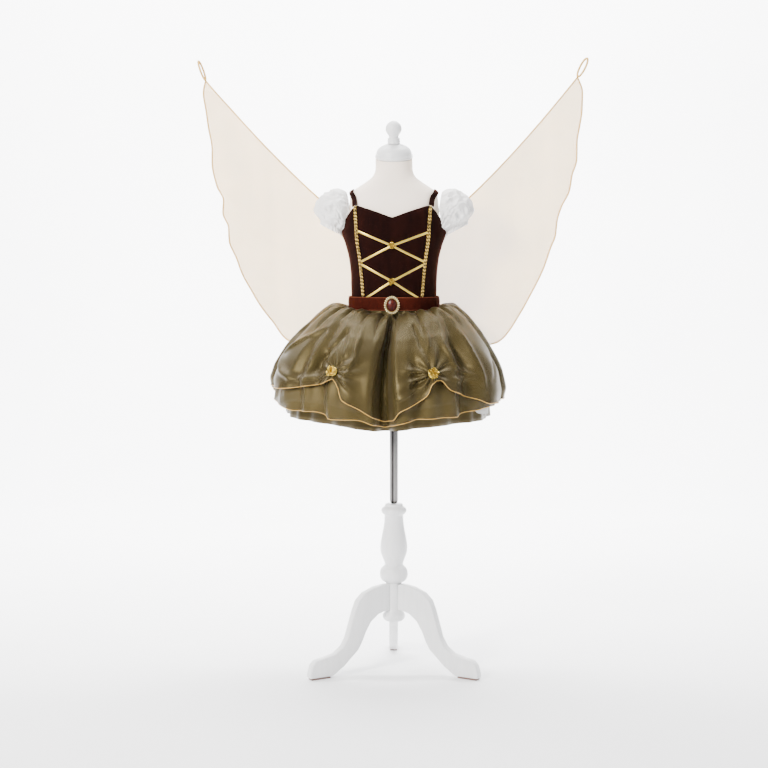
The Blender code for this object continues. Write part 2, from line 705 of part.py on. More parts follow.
def skirt_at(angle, level):
    """The point of the overskirt at this angle and level, found by halving."""
    low, high = UPPER_END, 1.0
    for _ in range(30):
        v = (low + high) / 2
        if skirt_point(SKIRT_LAYERS[0], angle, v).z > level:
            low = v
        else:
            high = v
    return skirt_point(SKIRT_LAYERS[0], angle, v)


def build_roses(gold, parent):
    for name, angle, level in ROSES:
        reach = max(skirt_at(angle + a, level).xy.length for a in (-3.5, 0, 3.5))
        outward = Vector((*skirt_at(angle, level).xy, 0)).normalized()
        at = outward * (reach + ROSE_LIFT) + Vector((0, 0, level))
        build_rosette(
            name, at, math.radians(angle), math.radians(-12), 27 * MM, 13 * MM, 5, gold, parent,
        )


# Puff sleeves: distance of the ring's middle from the centre, its level, tilt in degrees, radius
PUFF_RINGS = (
    (0.104, 1.071, 8, 0.036),
    (0.111, 1.070, 12, 0.0445),
    (0.120, 1.067, 22, 0.0500),
    (0.130, 1.062, 34, 0.0515),
    (0.139, 1.054, 45, 0.0490),
    (0.146, 1.044, 54, 0.0420),
    (0.150, 1.034, 60, 0.0330),
    (0.155, 1.026, 62, 0.0360),
)
PUFF_GATHERS = 9
PUFF_CLEAR = 1.8 * MM


def body_side(y, level):
    """How far the form, or the bodice below the armhole, reaches to the side at this depth and level."""
    rows = BODICE if level < 1.062 else TORSO
    half_width, half_depth = read_table(rows, level)
    share = 1 - (abs(y) / half_depth) ** BODY_SQUARENESS
    return half_width * max(share, 0.0) ** (1 / BODY_SQUARENESS)


def build_puffs(organza, parent):
    for side, sign in (("left", 1), ("right", -1)):
        def point(u, v, sign=sign):
            place = v * (len(PUFF_RINGS) - 1)
            x, level, tilt, radius = PUFF_RINGS[round(place)]
            around = sign * math.tau * u
            wave = 1 + 0.035 * math.cos(PUFF_GATHERS * around + place)
            up = Vector((math.sin(math.radians(tilt)), 0, math.cos(math.radians(tilt))))
            spot = Vector((x, 0, level)) + radius * wave * (
                up * math.cos(around) + Vector((0, -1, 0)) * math.sin(around)
            )
            spot.x = max(spot.x, body_side(spot.y, spot.z) + PUFF_CLEAR * (2.6 if spot.z > 1.075 else 1))
            return Vector((sign * spot.x, spot.y, spot.z))

        sheet("puff_" + side, point, 27, len(PUFF_RINGS) - 1, PUFF_WALL, organza, parent, closed=True, even=False)


# Wings: distance out and level of the outer edge of the left wing, then of the right, from tip to waist
WING_EDGE = (
    (0.4550, 1.375, 0.4220, 1.378), (0.4590, 1.345, 0.4340, 1.342), (0.4550, 1.310, 0.4330, 1.303),
    (0.4470, 1.264, 0.4280, 1.264), (0.4400, 1.218, 0.4220, 1.225), (0.4380, 1.172, 0.4220, 1.188),
    (0.4290, 1.128, 0.4110, 1.149), (0.4120, 1.093, 0.4050, 1.113), (0.4150, 1.062, 0.3870, 1.076),
    (0.4010, 1.027, 0.3770, 1.043), (0.4000, 0.995, 0.3740, 1.010), (0.3820, 0.951, 0.3620, 0.978),
    (0.3660, 0.909, 0.3450, 0.928), (0.3370, 0.858, 0.3150, 0.868), (0.3010, 0.807, 0.2900, 0.822),
    (0.2530, 0.757, 0.2330, 0.755), (0.1500, 0.745, 0.1400, 0.745), (0.0080, 0.765, 0.0080, 0.765),
)
WING_ROOT_TOP = 1.005
WING_ROOT_BOTTOM = 0.790
WING_ROOT_X = 4.0 * MM
WING_SAG = 0.045
WING_REACH_BACK = 0.132

# What the wings lie behind, with room for the folds: level, half width, half depth
BEHIND = (
    (0.735, 0.262, 0.230),
    (0.760, 0.246, 0.212),
    (0.786, 0.228, 0.189),
    (0.806, 0.211, 0.163),
    (0.826, 0.193, 0.136),
    (0.846, 0.160, 0.107),
    (0.862, 0.120, 0.0900),
    (0.876, 0.1060, 0.0868),
    (0.900, 0.1010, 0.0806),
    (0.920, 0.1005, 0.0801),
    (0.959, 0.1050, 0.0823),
    (0.990, 0.1130, 0.0843),
    (1.015, 0.1205, 0.0847),
    (1.040, 0.1200, 0.0831),
    (1.062, 0.1145, 0.0801),
)


def behind_body(x, level):
    """The depth just behind the bodice, belt and skirt at this distance from the middle."""
    half_width, half_depth = read_table(BEHIND, level)
    share = 1 - (abs(x) / half_width) ** BODY_SQUARENESS
    return half_depth * max(share, 0.0) ** (1 / BODY_SQUARENESS)


def wing_point(sign, u, v):
    last = len(WING_EDGE) - 1
    row = WING_EDGE[round(v * last)]
    x, level = (row[0], row[1]) if sign < 0 else (row[2], row[3])
    root = lerp(WING_ROOT_TOP, WING_ROOT_BOTTOM, smooth_step(0.0, 1.0, v) ** 0.8)
    sag = WING_SAG * 4 * u * (1 - u) * (1 - v) ** 2
    u = u ** 1.5
    out = lerp(WING_ROOT_X, x, u)
    height = lerp(root, level, u) - sag
    flat = lerp(0.070, WING_REACH_BACK, smooth_step(0.0, 0.30, out)) + 4 * MM * math.sin(9 * u + 7 * v)
    body = behind_body(out, height)
    blend = 12 * MM
    gap = flat - body
    depth = (flat + body) / 2 + math.sqrt(gap * gap / 4 + (blend * smooth_step(0.02, 0.10, out)) ** 2 / 4)
    return Vector((sign * out, depth, height))


def build_wings(organza, parent):
    for side, sign in (("left", 1), ("right", -1)):
        def point(u, v, sign=sign):
            return wing_point(sign, u if sign > 0 else 1 - u, v)

        sheet("wing_" + side, point, 9, len(WING_EDGE) - 1, WING_WALL, organza, parent)


# Finger loops: side, lean from upright, turn about their own length
FINGER_LOOPS = (("left", 1, 27, 0), ("right", -1, 20, 62))
LOOP_LENGTH = 0.047
LOOP_WIDTH = 12 * MM
LOOP_RADIUS = 1.5 * MM


def build_finger_loops(elastic, parent):
    """An open eye of elastic on each wing's tip: a long oval whose lower end meets the tip."""
    for side, sign, lean, turn in FINGER_LOOPS:
        line = bpy.data.curves.new("finger_loop_" + side, "CURVE")
        line.dimensions = "3D"
        spline = line.splines.new("POLY")
        points = 18
        spline.points.add(points - 1)
        tip = wing_point(sign, 1, 0)
        place = (
            Matrix.Translation(tip + Vector((0, WING_WALL / 2, 0)))
            @ Matrix.Rotation(math.radians(sign * lean), 4, "Y")
            @ Matrix.Translation((0, 0, LOOP_LENGTH / 2 + LOOP_RADIUS + SEAM_GAP / 3))
            @ Matrix.Rotation(math.radians(turn), 4, "Z")
        )
        for i, knot in enumerate(spline.points):
            a = math.tau * i / points
            eye = Vector((LOOP_WIDTH / 2 * math.cos(a), 0, LOOP_LENGTH / 2 * math.sin(a)))
            knot.co = (*(place @ eye), 1)
        spline.use_cyclic_u = True
        line.bevel_depth = LOOP_RADIUS
        line.bevel_resolution = 1
        line.materials.append(elastic)
        loop = bpy.data.objects.new("finger_loop_" + side, line)
        bpy.context.scene.collection.objects.link(loop)
        loop.parent = parent


def main():
    clear_scene()
    turned_form = bpy.data.objects.new("turned_form", None)
    bpy.context.scene.collection.objects.link(turned_form)
    turned_form.rotation_euler.z = FORM_TURN

    jersey = material("cream jersey", (0.82, 0.76, 0.68), 0.85)
    paint = material("white paint", (0.78, 0.78, 0.76), 0.4)
    chrome = material("chrome", (0.75, 0.75, 0.75), 0.15, 1.0)
    felt = material("red-brown felt", (0.12, 0.04, 0.03), 0.9)
    brown_velvet = material("brown velvet", (0.050, 0.022, 0.018), 0.8)
    belt_velvet = material("red-brown velvet", (0.120, 0.025, 0.015), 0.8)
    gold = material("gold ribbon", (0.62, 0.50, 0.25), 0.4, 0.6)
    beads = material("gold beads", (0.60, 0.50, 0.32), 0.3, 0.7)
    stone = material("red-brown stone", (0.18, 0.03, 0.02), 0.15)
    white_organza = material("white organza", (0.80, 0.80, 0.80), 0.6)
    cream_organza = material("cream organza", (0.85, 0.78, 0.66), 0.5)
    skirts = {
        "overskirt": material("olive organza", (0.20, 0.15, 0.075), 0.4),
        "underskirt": material("sheer olive organza", (0.24, 0.18, 0.09), 0.4),
        "petticoat": material("white tulle", (0.75, 0.74, 0.70), 0.8),
        "lining": material("olive satin", (0.17, 0.125, 0.06), 0.35),
    }

    build_stand(paint, chrome, felt)
    build_torso(jersey, turned_form)
    neck = Matrix.Translation((0, NECK_LEAN, TORSO[-1][0])) @ Matrix.Rotation(NECK_TILT, 4, "X")
    cap_at = neck @ Vector((0, 0, SEAM_GAP))
    finial_at = neck @ Vector((0, 0, CAP_PROFILE[-1][1] + 2 * SEAM_GAP))
    turned("neck_cap", CAP_PROFILE, 24, paint, turned_form, NECK_TILT, cap_at)
    turned("finial", FINIAL_PROFILE, 18, paint, turned_form, NECK_TILT, finial_at)

    build_bodice(brown_velvet, turned_form)
    build_braids(gold, turned_form)
    build_lacing(gold, turned_form)
    build_skirts(skirts, turned_form)
    build_roses(gold, turned_form)
    build_belt(belt_velvet, turned_form)
    build_buckle(beads, stone, turned_form)
    build_puffs(white_organza, turned_form)
    build_wings(cream_organza, turned_form)
    build_finger_loops(gold, turned_form)


main()
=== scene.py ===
# %% [markdown]
# # A child's fairy costume on a dress form
#
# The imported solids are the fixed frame: the form, its stand, and plain walls for every cut
# piece of cloth. This lesson dresses them. Cloth is rebuilt as thin, fine sheets on the same
# named sizes, trims are plaited or folded from ribbon, and each finish is a node material.

# %% Load the frame
import math

import bmesh
import bpy
from mathutils import Matrix, Vector, noise


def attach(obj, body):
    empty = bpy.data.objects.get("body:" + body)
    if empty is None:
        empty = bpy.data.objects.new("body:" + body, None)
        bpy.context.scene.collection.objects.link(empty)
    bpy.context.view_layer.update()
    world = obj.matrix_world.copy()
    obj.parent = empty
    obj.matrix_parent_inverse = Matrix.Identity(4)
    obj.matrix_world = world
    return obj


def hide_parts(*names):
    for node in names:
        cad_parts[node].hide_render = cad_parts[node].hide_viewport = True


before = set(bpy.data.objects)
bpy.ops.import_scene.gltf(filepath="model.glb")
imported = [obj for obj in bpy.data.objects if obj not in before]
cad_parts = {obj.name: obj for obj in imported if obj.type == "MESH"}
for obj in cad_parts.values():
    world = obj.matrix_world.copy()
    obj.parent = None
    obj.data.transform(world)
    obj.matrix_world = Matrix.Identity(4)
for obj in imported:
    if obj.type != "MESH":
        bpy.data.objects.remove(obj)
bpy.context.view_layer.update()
MM = 0.001
FORM_TURN = Matrix.Rotation(math.radians(-3.4), 4, "Z")

# %% [markdown]
# ## Camera
#
# The photograph was taken with a long lens from about four metres, a little below the form's
# neck, looking down by five degrees. The width of the stand's three feet and the curve of the
# belt fix the distance; the form's height on the picture fixes the lens.

# %% Camera
CAMERA_PLACE = Vector((-0.023, -4.0, 1.02))
LOOK_DOWN = math.radians(5.03)
LENS = 81.5

lens = bpy.data.cameras.new("photo_view")
lens.lens = LENS
lens.sensor_width = 36
camera = bpy.data.objects.new("photo_view", lens)
camera.location = CAMERA_PLACE
camera.rotation_euler = (math.radians(90) - LOOK_DOWN, 0, 0)
bpy.context.scene.collection.objects.link(camera)
bpy.context.scene.camera = camera
print("camera at:", tuple(CAMERA_PLACE), "lens in mm:", LENS)

# %% [markdown]
# ## Helpers for reading sizes
#
# A garment's shape comes from a few rings round the body. A table holds one row for each ring
# and a smooth curve is drawn through the rows, one that never overshoots, so a hem or a
# waist stays where the table puts it. Angles run from the centre front to the wearer's left.


# %% Smooth tables and rings
def lerp(a, b, s):
    return a + (b - a) * s


def smooth_step(low, high, x):
    s = min(max((x - low) / (high - low), 0.0), 1.0)
    return s * s * (3 - 2 * s)


def limited(neighbour, slope):
    """Zero at a peak, else the harmonic mean of the two slopes."""
    if neighbour * slope <= 0:
        return 0.0
    return 2 * neighbour * slope / (neighbour + slope)


def read_table(rows, x):
    """The columns after the first, at x, on a smooth curve through the rows."""
    if x <= rows[0][0]:
        return rows[0][1:]
    if x >= rows[-1][0]:
        return rows[-1][1:]
    last = len(rows) - 1
    i = max(k for k in range(last) if rows[k][0] <= x)
    before, low, high, after = rows[max(i - 1, 0)], rows[i], rows[i + 1], rows[min(i + 2, last)]
    span = high[0] - low[0]
    s = (x - low[0]) / span
    values = []
    for c in range(1, len(low)):
        slope = (high[c] - low[c]) / span
        into = limited((low[c] - before[c]) / (low[0] - before[0]) if i > 0 else slope, slope)
        out = limited((after[c] - high[c]) / (after[0] - high[0]) if i + 2 <= last else slope, slope)
        values.append(
            low[c] * (1 + 2 * s) * (1 - s) ** 2
            + span * into * s * (1 - s) ** 2
            + high[c] * s * s * (3 - 2 * s)
            + span * out * s * s * (s - 1)
        )
    return tuple(values)


def wrapped(angle):
    return (angle + 180) % 360 - 180


def signed_power(x, power):
    return math.copysign(abs(x) ** power, x)


def ring_point(angle, half_width, half_depth, level, squareness):
    a = math.radians(angle)
    return Vector((
        half_width * signed_power(math.sin(a), 2 / squareness),
        -half_depth * signed_power(math.cos(a), 2 / squareness),
        level,
    ))


print("read at 0.5, a table from 0 to 1 and on to 3 gives:", read_table(((0, 0), (1, 1), (2, 3)), 0.5))

# %% [markdown]
# ## Helpers for making pieces
#
# Cloth starts as a flat bmesh grid with its own UV map, and each point is then moved to where
# the garment has it, so threads and creases follow the cloth. A tube of cloth is the same
# grid with its two side edges welded. Rolled hems and cords are circles set along a path and
# bridged one to the next. Sawn wood and felt are merged copies of the solids with a bevel.


# %% Grids, cords and copies
WELD = 0.01 * MM
SHARP_EDGE = math.radians(60)


def keep(name, bm, look, slot, *nodes, smooth=True):
    """Turns a bmesh into a finished piece that rides on the object and stands for its solids."""
    mesh = bpy.data.meshes.new(name)
    bm.to_mesh(mesh)
    bm.free()
    piece = bpy.data.objects.new(name, mesh)
    bpy.context.scene.collection.objects.link(piece)
    mesh.materials.append(look)
    if smooth:
        mesh.shade_smooth()
    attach(piece, "root")
    if nodes:
        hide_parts(*nodes)
    return piece


def cloth_bmesh(point, columns, rows, closed=False):
    """A grid whose UV runs across and down, with every vertex put at point(u, v)."""
    bm = bmesh.new()
    bm.loops.layers.uv.new("UVMap")
    bmesh.ops.create_grid(bm, x_segments=columns, y_segments=rows, size=0.5, calc_uvs=True)
    for vert in bm.verts:
        vert.co = point(vert.co.x + 0.5, 0.5 - vert.co.y)
    if closed:
        bmesh.ops.remove_doubles(bm, verts=bm.verts, dist=0.02 * MM)
    return bm


def face_out(bm, outward):
    """Flips the whole sheet if its faces look the wrong way; outward(centre) says which way is out."""
    bm.normal_update()
    agree = sum(face.normal.dot(outward(face.calc_center_median())) for face in bm.faces)
    if agree < 0:
        bmesh.ops.reverse_faces(bm, faces=bm.faces)


def from_axis(centre):
    return Vector((centre.x, centre.y, 0))


def give_wall(piece, thickness, inwards=-1):
    wall = piece.modifiers.new("Wall", "SOLIDIFY")
    wall.thickness = thickness
    wall.offset = inwards
    return piece


def cord_bmesh(bm, path, radius, sides=6, closed=False, side=None):
    """Adds a tube along a list of points, made by moving one circle along it and bridging."""
    rings = []
    last = len(path) - 1
    for i, spot in enumerate(path):
        before = path[i - 1] if i > 0 or closed else spot
        after = path[(i + 1) % len(path)] if i < last or closed else spot
        along = (after - before).normalized()
        across = along.cross(side or Vector((0, 0, 1)))
        if across.length < 0.05:
            across = along.cross(Vector((1, 0, 0)))
        across.normalize()
        up = across.cross(along)
        made = bmesh.ops.create_circle(bm, segments=sides, radius=radius)["verts"]
        for k, vert in enumerate(made):
            a = math.tau * k / sides
            vert.co = spot + across * radius * math.cos(a) + up * radius * math.sin(a)
        rings.append([bm.edges.get((made[k - 1], made[k])) for k in range(sides)])
    pairs = list(zip(rings, rings[1:])) + ([(rings[-1], rings[0])] if closed else [])
    for low, high in pairs:
        bmesh.ops.bridge_loops(bm, edges=low + high)
    if not closed:
        bmesh.ops.holes_fill(bm, edges=rings[0] + rings[-1], sides=sides)


def spun_bmesh(profile, steps):
    """A closed turned body from half its outline, given as radius and level."""
    bm = bmesh.new()
    line = [bm.verts.new((radius, 0, level)) for radius, level in profile]
    edges = [bm.edges.new(pair) for pair in zip(line, line[1:])]
    bmesh.ops.spin(
        bm, geom=line + edges, cent=(0, 0, 0), axis=(0, 0, 1), angle=math.tau, steps=steps, use_merge=True
    )
    bmesh.ops.remove_doubles(bm, verts=bm.verts, dist=WELD)
    return bm


def rounded_copy(name, node, look, slot, radius):
    """A merged copy of a solid with its sharp edges rounded off."""
    bm = bmesh.new()
    bm.from_mesh(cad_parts[node].data)
    bmesh.ops.remove_doubles(bm, verts=bm.verts, dist=WELD)
    bmesh.ops.dissolve_limit(bm, angle_limit=math.radians(1.0), verts=bm.verts, edges=bm.edges)
    sharp = [
        edge for edge in bm.edges
        if len(edge.link_faces) == 2 and edge.calc_face_angle(0) > SHARP_EDGE
    ]
    bmesh.ops.bevel(
        bm, geom=sharp, offset=radius, segments=3, profile=0.5, affect="EDGES", material=-1,
        clamp_overlap=True,
    )
    bmesh.ops.recalc_face_normals(bm, faces=bm.faces)
    return keep(name, bm, look, slot, node)


print("helpers ready, weld distance in mm:", WELD / MM)

# %% [markdown]
# ## Finishes
#
# Every finish is a Principled shader whose colour, roughness and bump come from noise and
# wave textures. Threads read the piece's own UV map, scaled by its real size, so they stay
# even along the cloth; velvet pile and paint read Object coordinates. Sheen and other
# plain numbers sit on the shader's own sockets.


# %% A small node kit
class Finish:
    """Builds one material a node at a time."""

    def __init__(self, name):
        self.material = bpy.data.materials.new(name)
        self.material.use_nodes = True
        self.tree = self.material.node_tree
        self.shader = self.tree.nodes["Principled BSDF"]
        self.coordinates = self.tree.nodes.new("ShaderNodeTexCoord")

    def node(self, kind, inputs=(), **settings):
        made = self.tree.nodes.new(kind)
        for key, value in settings.items():
            setattr(made, key, value)
        for key, value in dict(inputs).items():
            if isinstance(value, bpy.types.NodeSocket):
                self.tree.links.new(value, made.inputs[key])
            else:
                made.inputs[key].default_value = value
        return made

    def place(self, source="Object", scale=(1, 1, 1)):
        inputs = {"Vector": self.coordinates.outputs[source], "Scale": scale}
        return self.node("ShaderNodeMapping", inputs).outputs["Vector"]

    def noise(self, vector, scale, detail=3.0, rough=0.5):
        inputs = {"Vector": vector, "Scale": scale, "Detail": detail, "Roughness": rough}
        return self.node("ShaderNodeTexNoise", inputs).outputs["Fac"]

    def wave(self, vector, scale, direction="X"):
        inputs = {"Vector": vector, "Scale": scale}
        return self.node("ShaderNodeTexWave", inputs, bands_direction=direction).outputs["Fac"]

    def maths(self, operation, a, b):
        return self.node("ShaderNodeMath", {0: a, 1: b}, operation=operation).outputs[0]

    def ramp(self, factor, *stops):
        made = self.node("ShaderNodeValToRGB", {"Fac": factor})
        stripe = made.color_ramp
        while len(stripe.elements) < len(stops):
            stripe.elements.new(0.5)
        for element, (place, colour) in zip(stripe.elements, stops):
            element.position = place
            element.color = (*colour, 1.0)
        return made.outputs["Color"]

    def bump(self, height, distance, strength=1.0):
        inputs = {"Height": height, "Distance": distance, "Strength": strength}
        normal = self.node("ShaderNodeBump", inputs).outputs["Normal"]
        self.tree.links.new(normal, self.shader.inputs["Normal"])

    def set(self, **inputs):
        for key, value in inputs.items():
            socket = self.shader.inputs[key.replace("_", " ")]
            if isinstance(value, bpy.types.NodeSocket):
                self.tree.links.new(value, socket)
            else:
                socket.default_value = value
        return self


def shade(colour, share):
    return tuple(share * c for c in colour)


# %% [markdown]
# Organza and satin are smooth threads of one colour. The gloss is wide and soft along a
# fold, so roughness is middling, and a slow noise gives the cloth its cloudy tone. Sheer cloth
# lets some of what is behind it through, which is the shader's alpha.


# %% Organza, satin and net
def organza(
    name, colour, width, length, alpha, roughness, sheen, cloud=0.16, threads=1.2,
    gloss=(1, 1, 1), metallic=0.0,
):
    """Sheer woven cloth; width and length are its real size in metres, threads are per millimetre."""
    finish = Finish(name)
    clouds = finish.noise(finish.place(), 9.0, 3.0)
    across = finish.wave(finish.place("UV", (width / MM, 1, 1)), threads * 0.5, "X")
    down = finish.wave(finish.place("UV", (1, length / MM, 1)), threads * 0.5, "Y")
    weave = finish.maths("ADD", across, down)
    tone = finish.ramp(clouds, (0.3, shade(colour, 1 - cloud)), (0.7, shade(colour, 1 + cloud)))
    finish.bump(weave, 0.04 * MM, 0.5)
    span = {"Value": clouds, "To Min": roughness - 0.05, "To Max": roughness + 0.07}
    rough = finish.node("ShaderNodeMapRange", span)
    finish.set(Base_Color=tone, Roughness=rough.outputs[0], Alpha=alpha, Sheen_Weight=sheen)
    finish.set(Sheen_Roughness=0.4, Specular_IOR_Level=0.36)
    finish.set(Specular_Tint=(*gloss, 1.0), Metallic=metallic)
    return finish.material


OLIVE = (0.041, 0.0295, 0.0095)
OLIVE_GLOSS = (1.0, 0.82, 0.45)
overskirt_finish = organza(
    "olive satin organza", OLIVE, 2.6, 0.30, 0.84, 0.37, 0.04, gloss=OLIVE_GLOSS, metallic=0.1
)
underskirt_finish = organza(
    "sheer olive organza", shade(OLIVE, 1.4), 2.6, 0.33, 0.76, 0.46, 0.04, gloss=OLIVE_GLOSS, metallic=0.1
)
lining_finish = organza("olive satin", shade(OLIVE, 0.85), 1.6, 0.32, 1.0, 0.36, 0.04, gloss=OLIVE_GLOSS)
wing_finish = organza("cream crystal organza", (0.98, 0.69, 0.25), 0.6, 0.6, 0.54, 0.5, 0.05, 0.05, 0.8)
puff_finish = organza("white organza", (0.94, 0.925, 0.91), 0.5, 0.14, 0.74, 0.5, 0.2, 0.04)
tulle_finish = organza("white tulle", (0.80, 0.80, 0.77), 2.2, 0.32, 0.40, 0.7, 0.2, 0.04, 0.5)
sheers = (overskirt_finish, underskirt_finish, lining_finish, wing_finish, puff_finish, tulle_finish)
print("skirt, wing and sleeve cloths:", [cloth.name for cloth in sheers])


# %% [markdown]
# Velvet is a short pile: nearly black where one looks into it and red-brown where it turns
# away, which the shader's sheen gives from any side. The pile lies unevenly, so two noises,
# one slow and one fine, change its colour and its height.


# %% Velvet
def velvet(name, deep, tip, sheen, sheen_tint):
    finish = Finish(name)
    patches = finish.noise(finish.place(scale=(1, 1, 0.35)), 38.0, 4.0, 0.6)
    pile = finish.noise(finish.place(), 1900.0, 2.0)
    both = finish.maths("ADD", finish.maths("MULTIPLY", patches, 0.7), finish.maths("MULTIPLY", pile, 0.3))
    finish.set(Base_Color=finish.ramp(both, (0.38, deep), (0.66, tip)), Roughness=0.9)
    finish.set(Sheen_Weight=sheen, Sheen_Roughness=0.35, Sheen_Tint=(*sheen_tint, 1.0))
    finish.set(Specular_IOR_Level=0.05)
    finish.bump(pile, 0.25 * MM, 0.5)
    return finish.material


bodice_finish = velvet(
    "brown velvet", (0.0042, 0.0009, 0.0007), (0.0115, 0.0024, 0.0014), 0.22, (0.58, 0.12, 0.04)
)
belt_finish = velvet(
    "red-brown velvet", (0.017, 0.0025, 0.0012), (0.040, 0.0060, 0.0026), 0.15, (0.70, 0.18, 0.07)
)
# A lighter copy of the belt velvet for its turned edges: painted sheen.
belt_edge_sheen_finish = velvet(
    "belt edge velvet with painted sheen", (0.085, 0.022, 0.011), (0.15, 0.045, 0.024), 0.22, (0.8, 0.4, 0.2)
)
print("velvets:", [cloth.name for cloth in (bodice_finish, belt_finish, belt_edge_sheen_finish)])


# %% [markdown]
# The gold is lurex: a thin metal film woven in or plaited. Its finish is part metal, with
# fine cross threads. The braid's colour is painted darker where its strands cross, a painted
# shade that two waves multiplied by each other give. The beads are cast and plated, the pole is
# polished steel tube.


# %% Gold, stone, jersey, paint and steel
def lurex(name, colour, metallic, roughness, scale, dark=0.72):
    finish = Finish(name)
    threads = finish.noise(finish.place(), scale, 2.0)
    finish.set(Base_Color=finish.ramp(threads, (0.36, shade(colour, dark)), (0.62, shade(colour, 1.1))))
    finish.set(Metallic=metallic, Roughness=roughness, Specular_IOR_Level=0.6)
    finish.bump(threads, 0.15 * MM, 0.6)
    return finish.material


ribbon_finish = lurex("gold ribbon", (0.80, 0.57, 0.11), 0.90, 0.30, 900.0)
rose_finish = lurex("gold rose ribbon", (0.76, 0.54, 0.085), 0.85, 0.26, 400.0, 0.3)
hem_finish = lurex("gold hem thread", (0.50, 0.29, 0.06), 0.30, 0.5, 1600.0)
wing_edge_finish = lurex("pale gold edge", (0.72, 0.43, 0.10), 0.2, 0.5, 1600.0)
bead_finish = lurex("gold beads", (0.80, 0.66, 0.34), 0.7, 0.25, 300.0)
# The setting's gold, coloured dark so the gaps between the beads show painted shade.
setting_and_gap_shade_finish = lurex("gold setting darkened for painted gap shade", (0.16, 0.10, 0.03), 0.7, 0.4, 300.0)


def gimp_material():
    """Plaited gold cord: colour bright on the crowns and painted dark where one strand dives under the next.
    """
    finish = Finish("gold gimp with painted crossing shade")
    # Painted shade: bars along the cord times slanted bands darken the colour at each crossing.
    shade_bars = finish.wave(finish.place(), 41.0, "Z")
    crossing_shade = finish.maths("MULTIPLY", shade_bars, finish.wave(finish.place(), 82.0, "DIAGONAL"))
    gold = (0.74, 0.49, 0.11)
    finish.set(Base_Color=finish.ramp(crossing_shade, (0.06, shade(gold, 0.10)), (0.42, shade(gold, 1.15))))
    finish.set(Metallic=0.6, Roughness=0.4, Specular_IOR_Level=0.5)
    finish.bump(finish.noise(finish.place(), 1400.0), 0.15 * MM, 0.6)
    return finish.material


def stone_material():
    finish = Finish("red-brown stone")
    flecks = finish.noise(finish.place(), 240.0, 3.0)
    colour = finish.ramp(flecks, (0.35, (0.014, 0.0012, 0.0007)), (0.7, (0.078, 0.0075, 0.0028)))
    finish.set(Base_Color=colour, Roughness=0.32, Specular_IOR_Level=0.2)
    finish.set(Coat_Weight=0.04, Coat_Roughness=0.2)
    return finish.material


def jersey_material():
    finish = Finish("cream jersey")
    knit = finish.wave(finish.place(), 420.0, "Z")
    soft = finish.noise(finish.place(), 14.0)
    finish.set(Base_Color=finish.ramp(soft, (0.3, (0.93, 0.80, 0.67)), (0.7, (0.96, 0.83, 0.70))))
    finish.set(Roughness=0.85, Sheen_Weight=0.2, Specular_IOR_Level=0.25)
    finish.bump(knit, 0.08 * MM, 0.35)
    return finish.material


def paint_material():
    finish = Finish("white satin paint")
    brush = finish.noise(finish.place(scale=(1, 1, 0.15)), 120.0, 4.0)
    finish.set(Base_Color=finish.ramp(brush, (0.3, (0.68, 0.68, 0.68)), (0.7, (0.73, 0.73, 0.73))))
    finish.set(Roughness=0.38, Coat_Weight=0.15, Coat_Roughness=0.3)
    finish.bump(brush, 0.12 * MM, 0.3)
    return finish.material


def steel_material():
    finish = Finish("polished steel")
    lines = finish.noise(finish.place(scale=(1, 1, 0.02)), 900.0, 2.0)
    # Long dark and light bands round the tube, running down it: a painted reflection in the steel's colour.
    reflection_bands = finish.noise(finish.place(scale=(1, 1, 0.004)), 230.0, 1.0)
    colour = finish.ramp(reflection_bands, (0.42, (0.03, 0.028, 0.028)), (0.58, (0.22, 0.212, 0.208)))
    rough = finish.node("ShaderNodeMapRange", {"Value": lines, "To Min": 0.14, "To Max": 0.24})
    finish.set(Base_Color=colour, Metallic=1.0, Roughness=rough.outputs[0])
    return finish.material


def felt_material():
    finish = Finish("brown felt")
    fibres = finish.noise(finish.place(), 900.0, 4.0)
    finish.set(Base_Color=finish.ramp(fibres, (0.3, (0.10, 0.055, 0.045)), (0.7, (0.22, 0.14, 0.12))))
    finish.set(Roughness=0.95, Sheen_Weight=0.3)
    finish.bump(fibres, 0.4 * MM)
    return finish.material


braid_finish = gimp_material()
stone_finish = stone_material()
jersey_finish = jersey_material()
paint_finish = paint_material()
steel_finish = steel_material()
felt_finish = felt_material()
print("finishes:", len(bpy.data.materials))


# %% [markdown]
# ## The form and its stand
#
# The form is a padded body under a smooth jersey cover, with a turned wooden cap and finial
# on its neck. Turned wood is a profile spun about its axis. The profile is spun in many steps
# and then rounded by subdivision, with creases where the turner's tool left a sharp line.


# %% Turned pieces
# Rings of the body: level, half width, half depth
TORSO = (
    (0.700, 0.100, 0.080), (0.715, 0.104, 0.084), (0.770, 0.1035, 0.0830), (0.800, 0.0965, 0.0765),
    (0.825, 0.0940, 0.0740), (0.857, 0.0940, 0.0740), (0.900, 0.0945, 0.0750), (0.950, 0.0980, 0.0780),
    (1.000, 0.1040, 0.0810), (1.035, 0.1040, 0.0800), (1.065, 0.1030, 0.0750), (1.090, 0.1005, 0.0660),
    (1.105, 0.0985, 0.0575), (1.118, 0.0845, 0.0515), (1.130, 0.0660, 0.0455), (1.145, 0.0480, 0.0420),
    (1.160, 0.0425, 0.0410), (1.184, 0.0420, 0.0410),
)
NECK_TOP = Vector((0, -0.004, 1.184))
NECK_TILT = math.radians(13)
BODY_SQUARENESS = 2.3
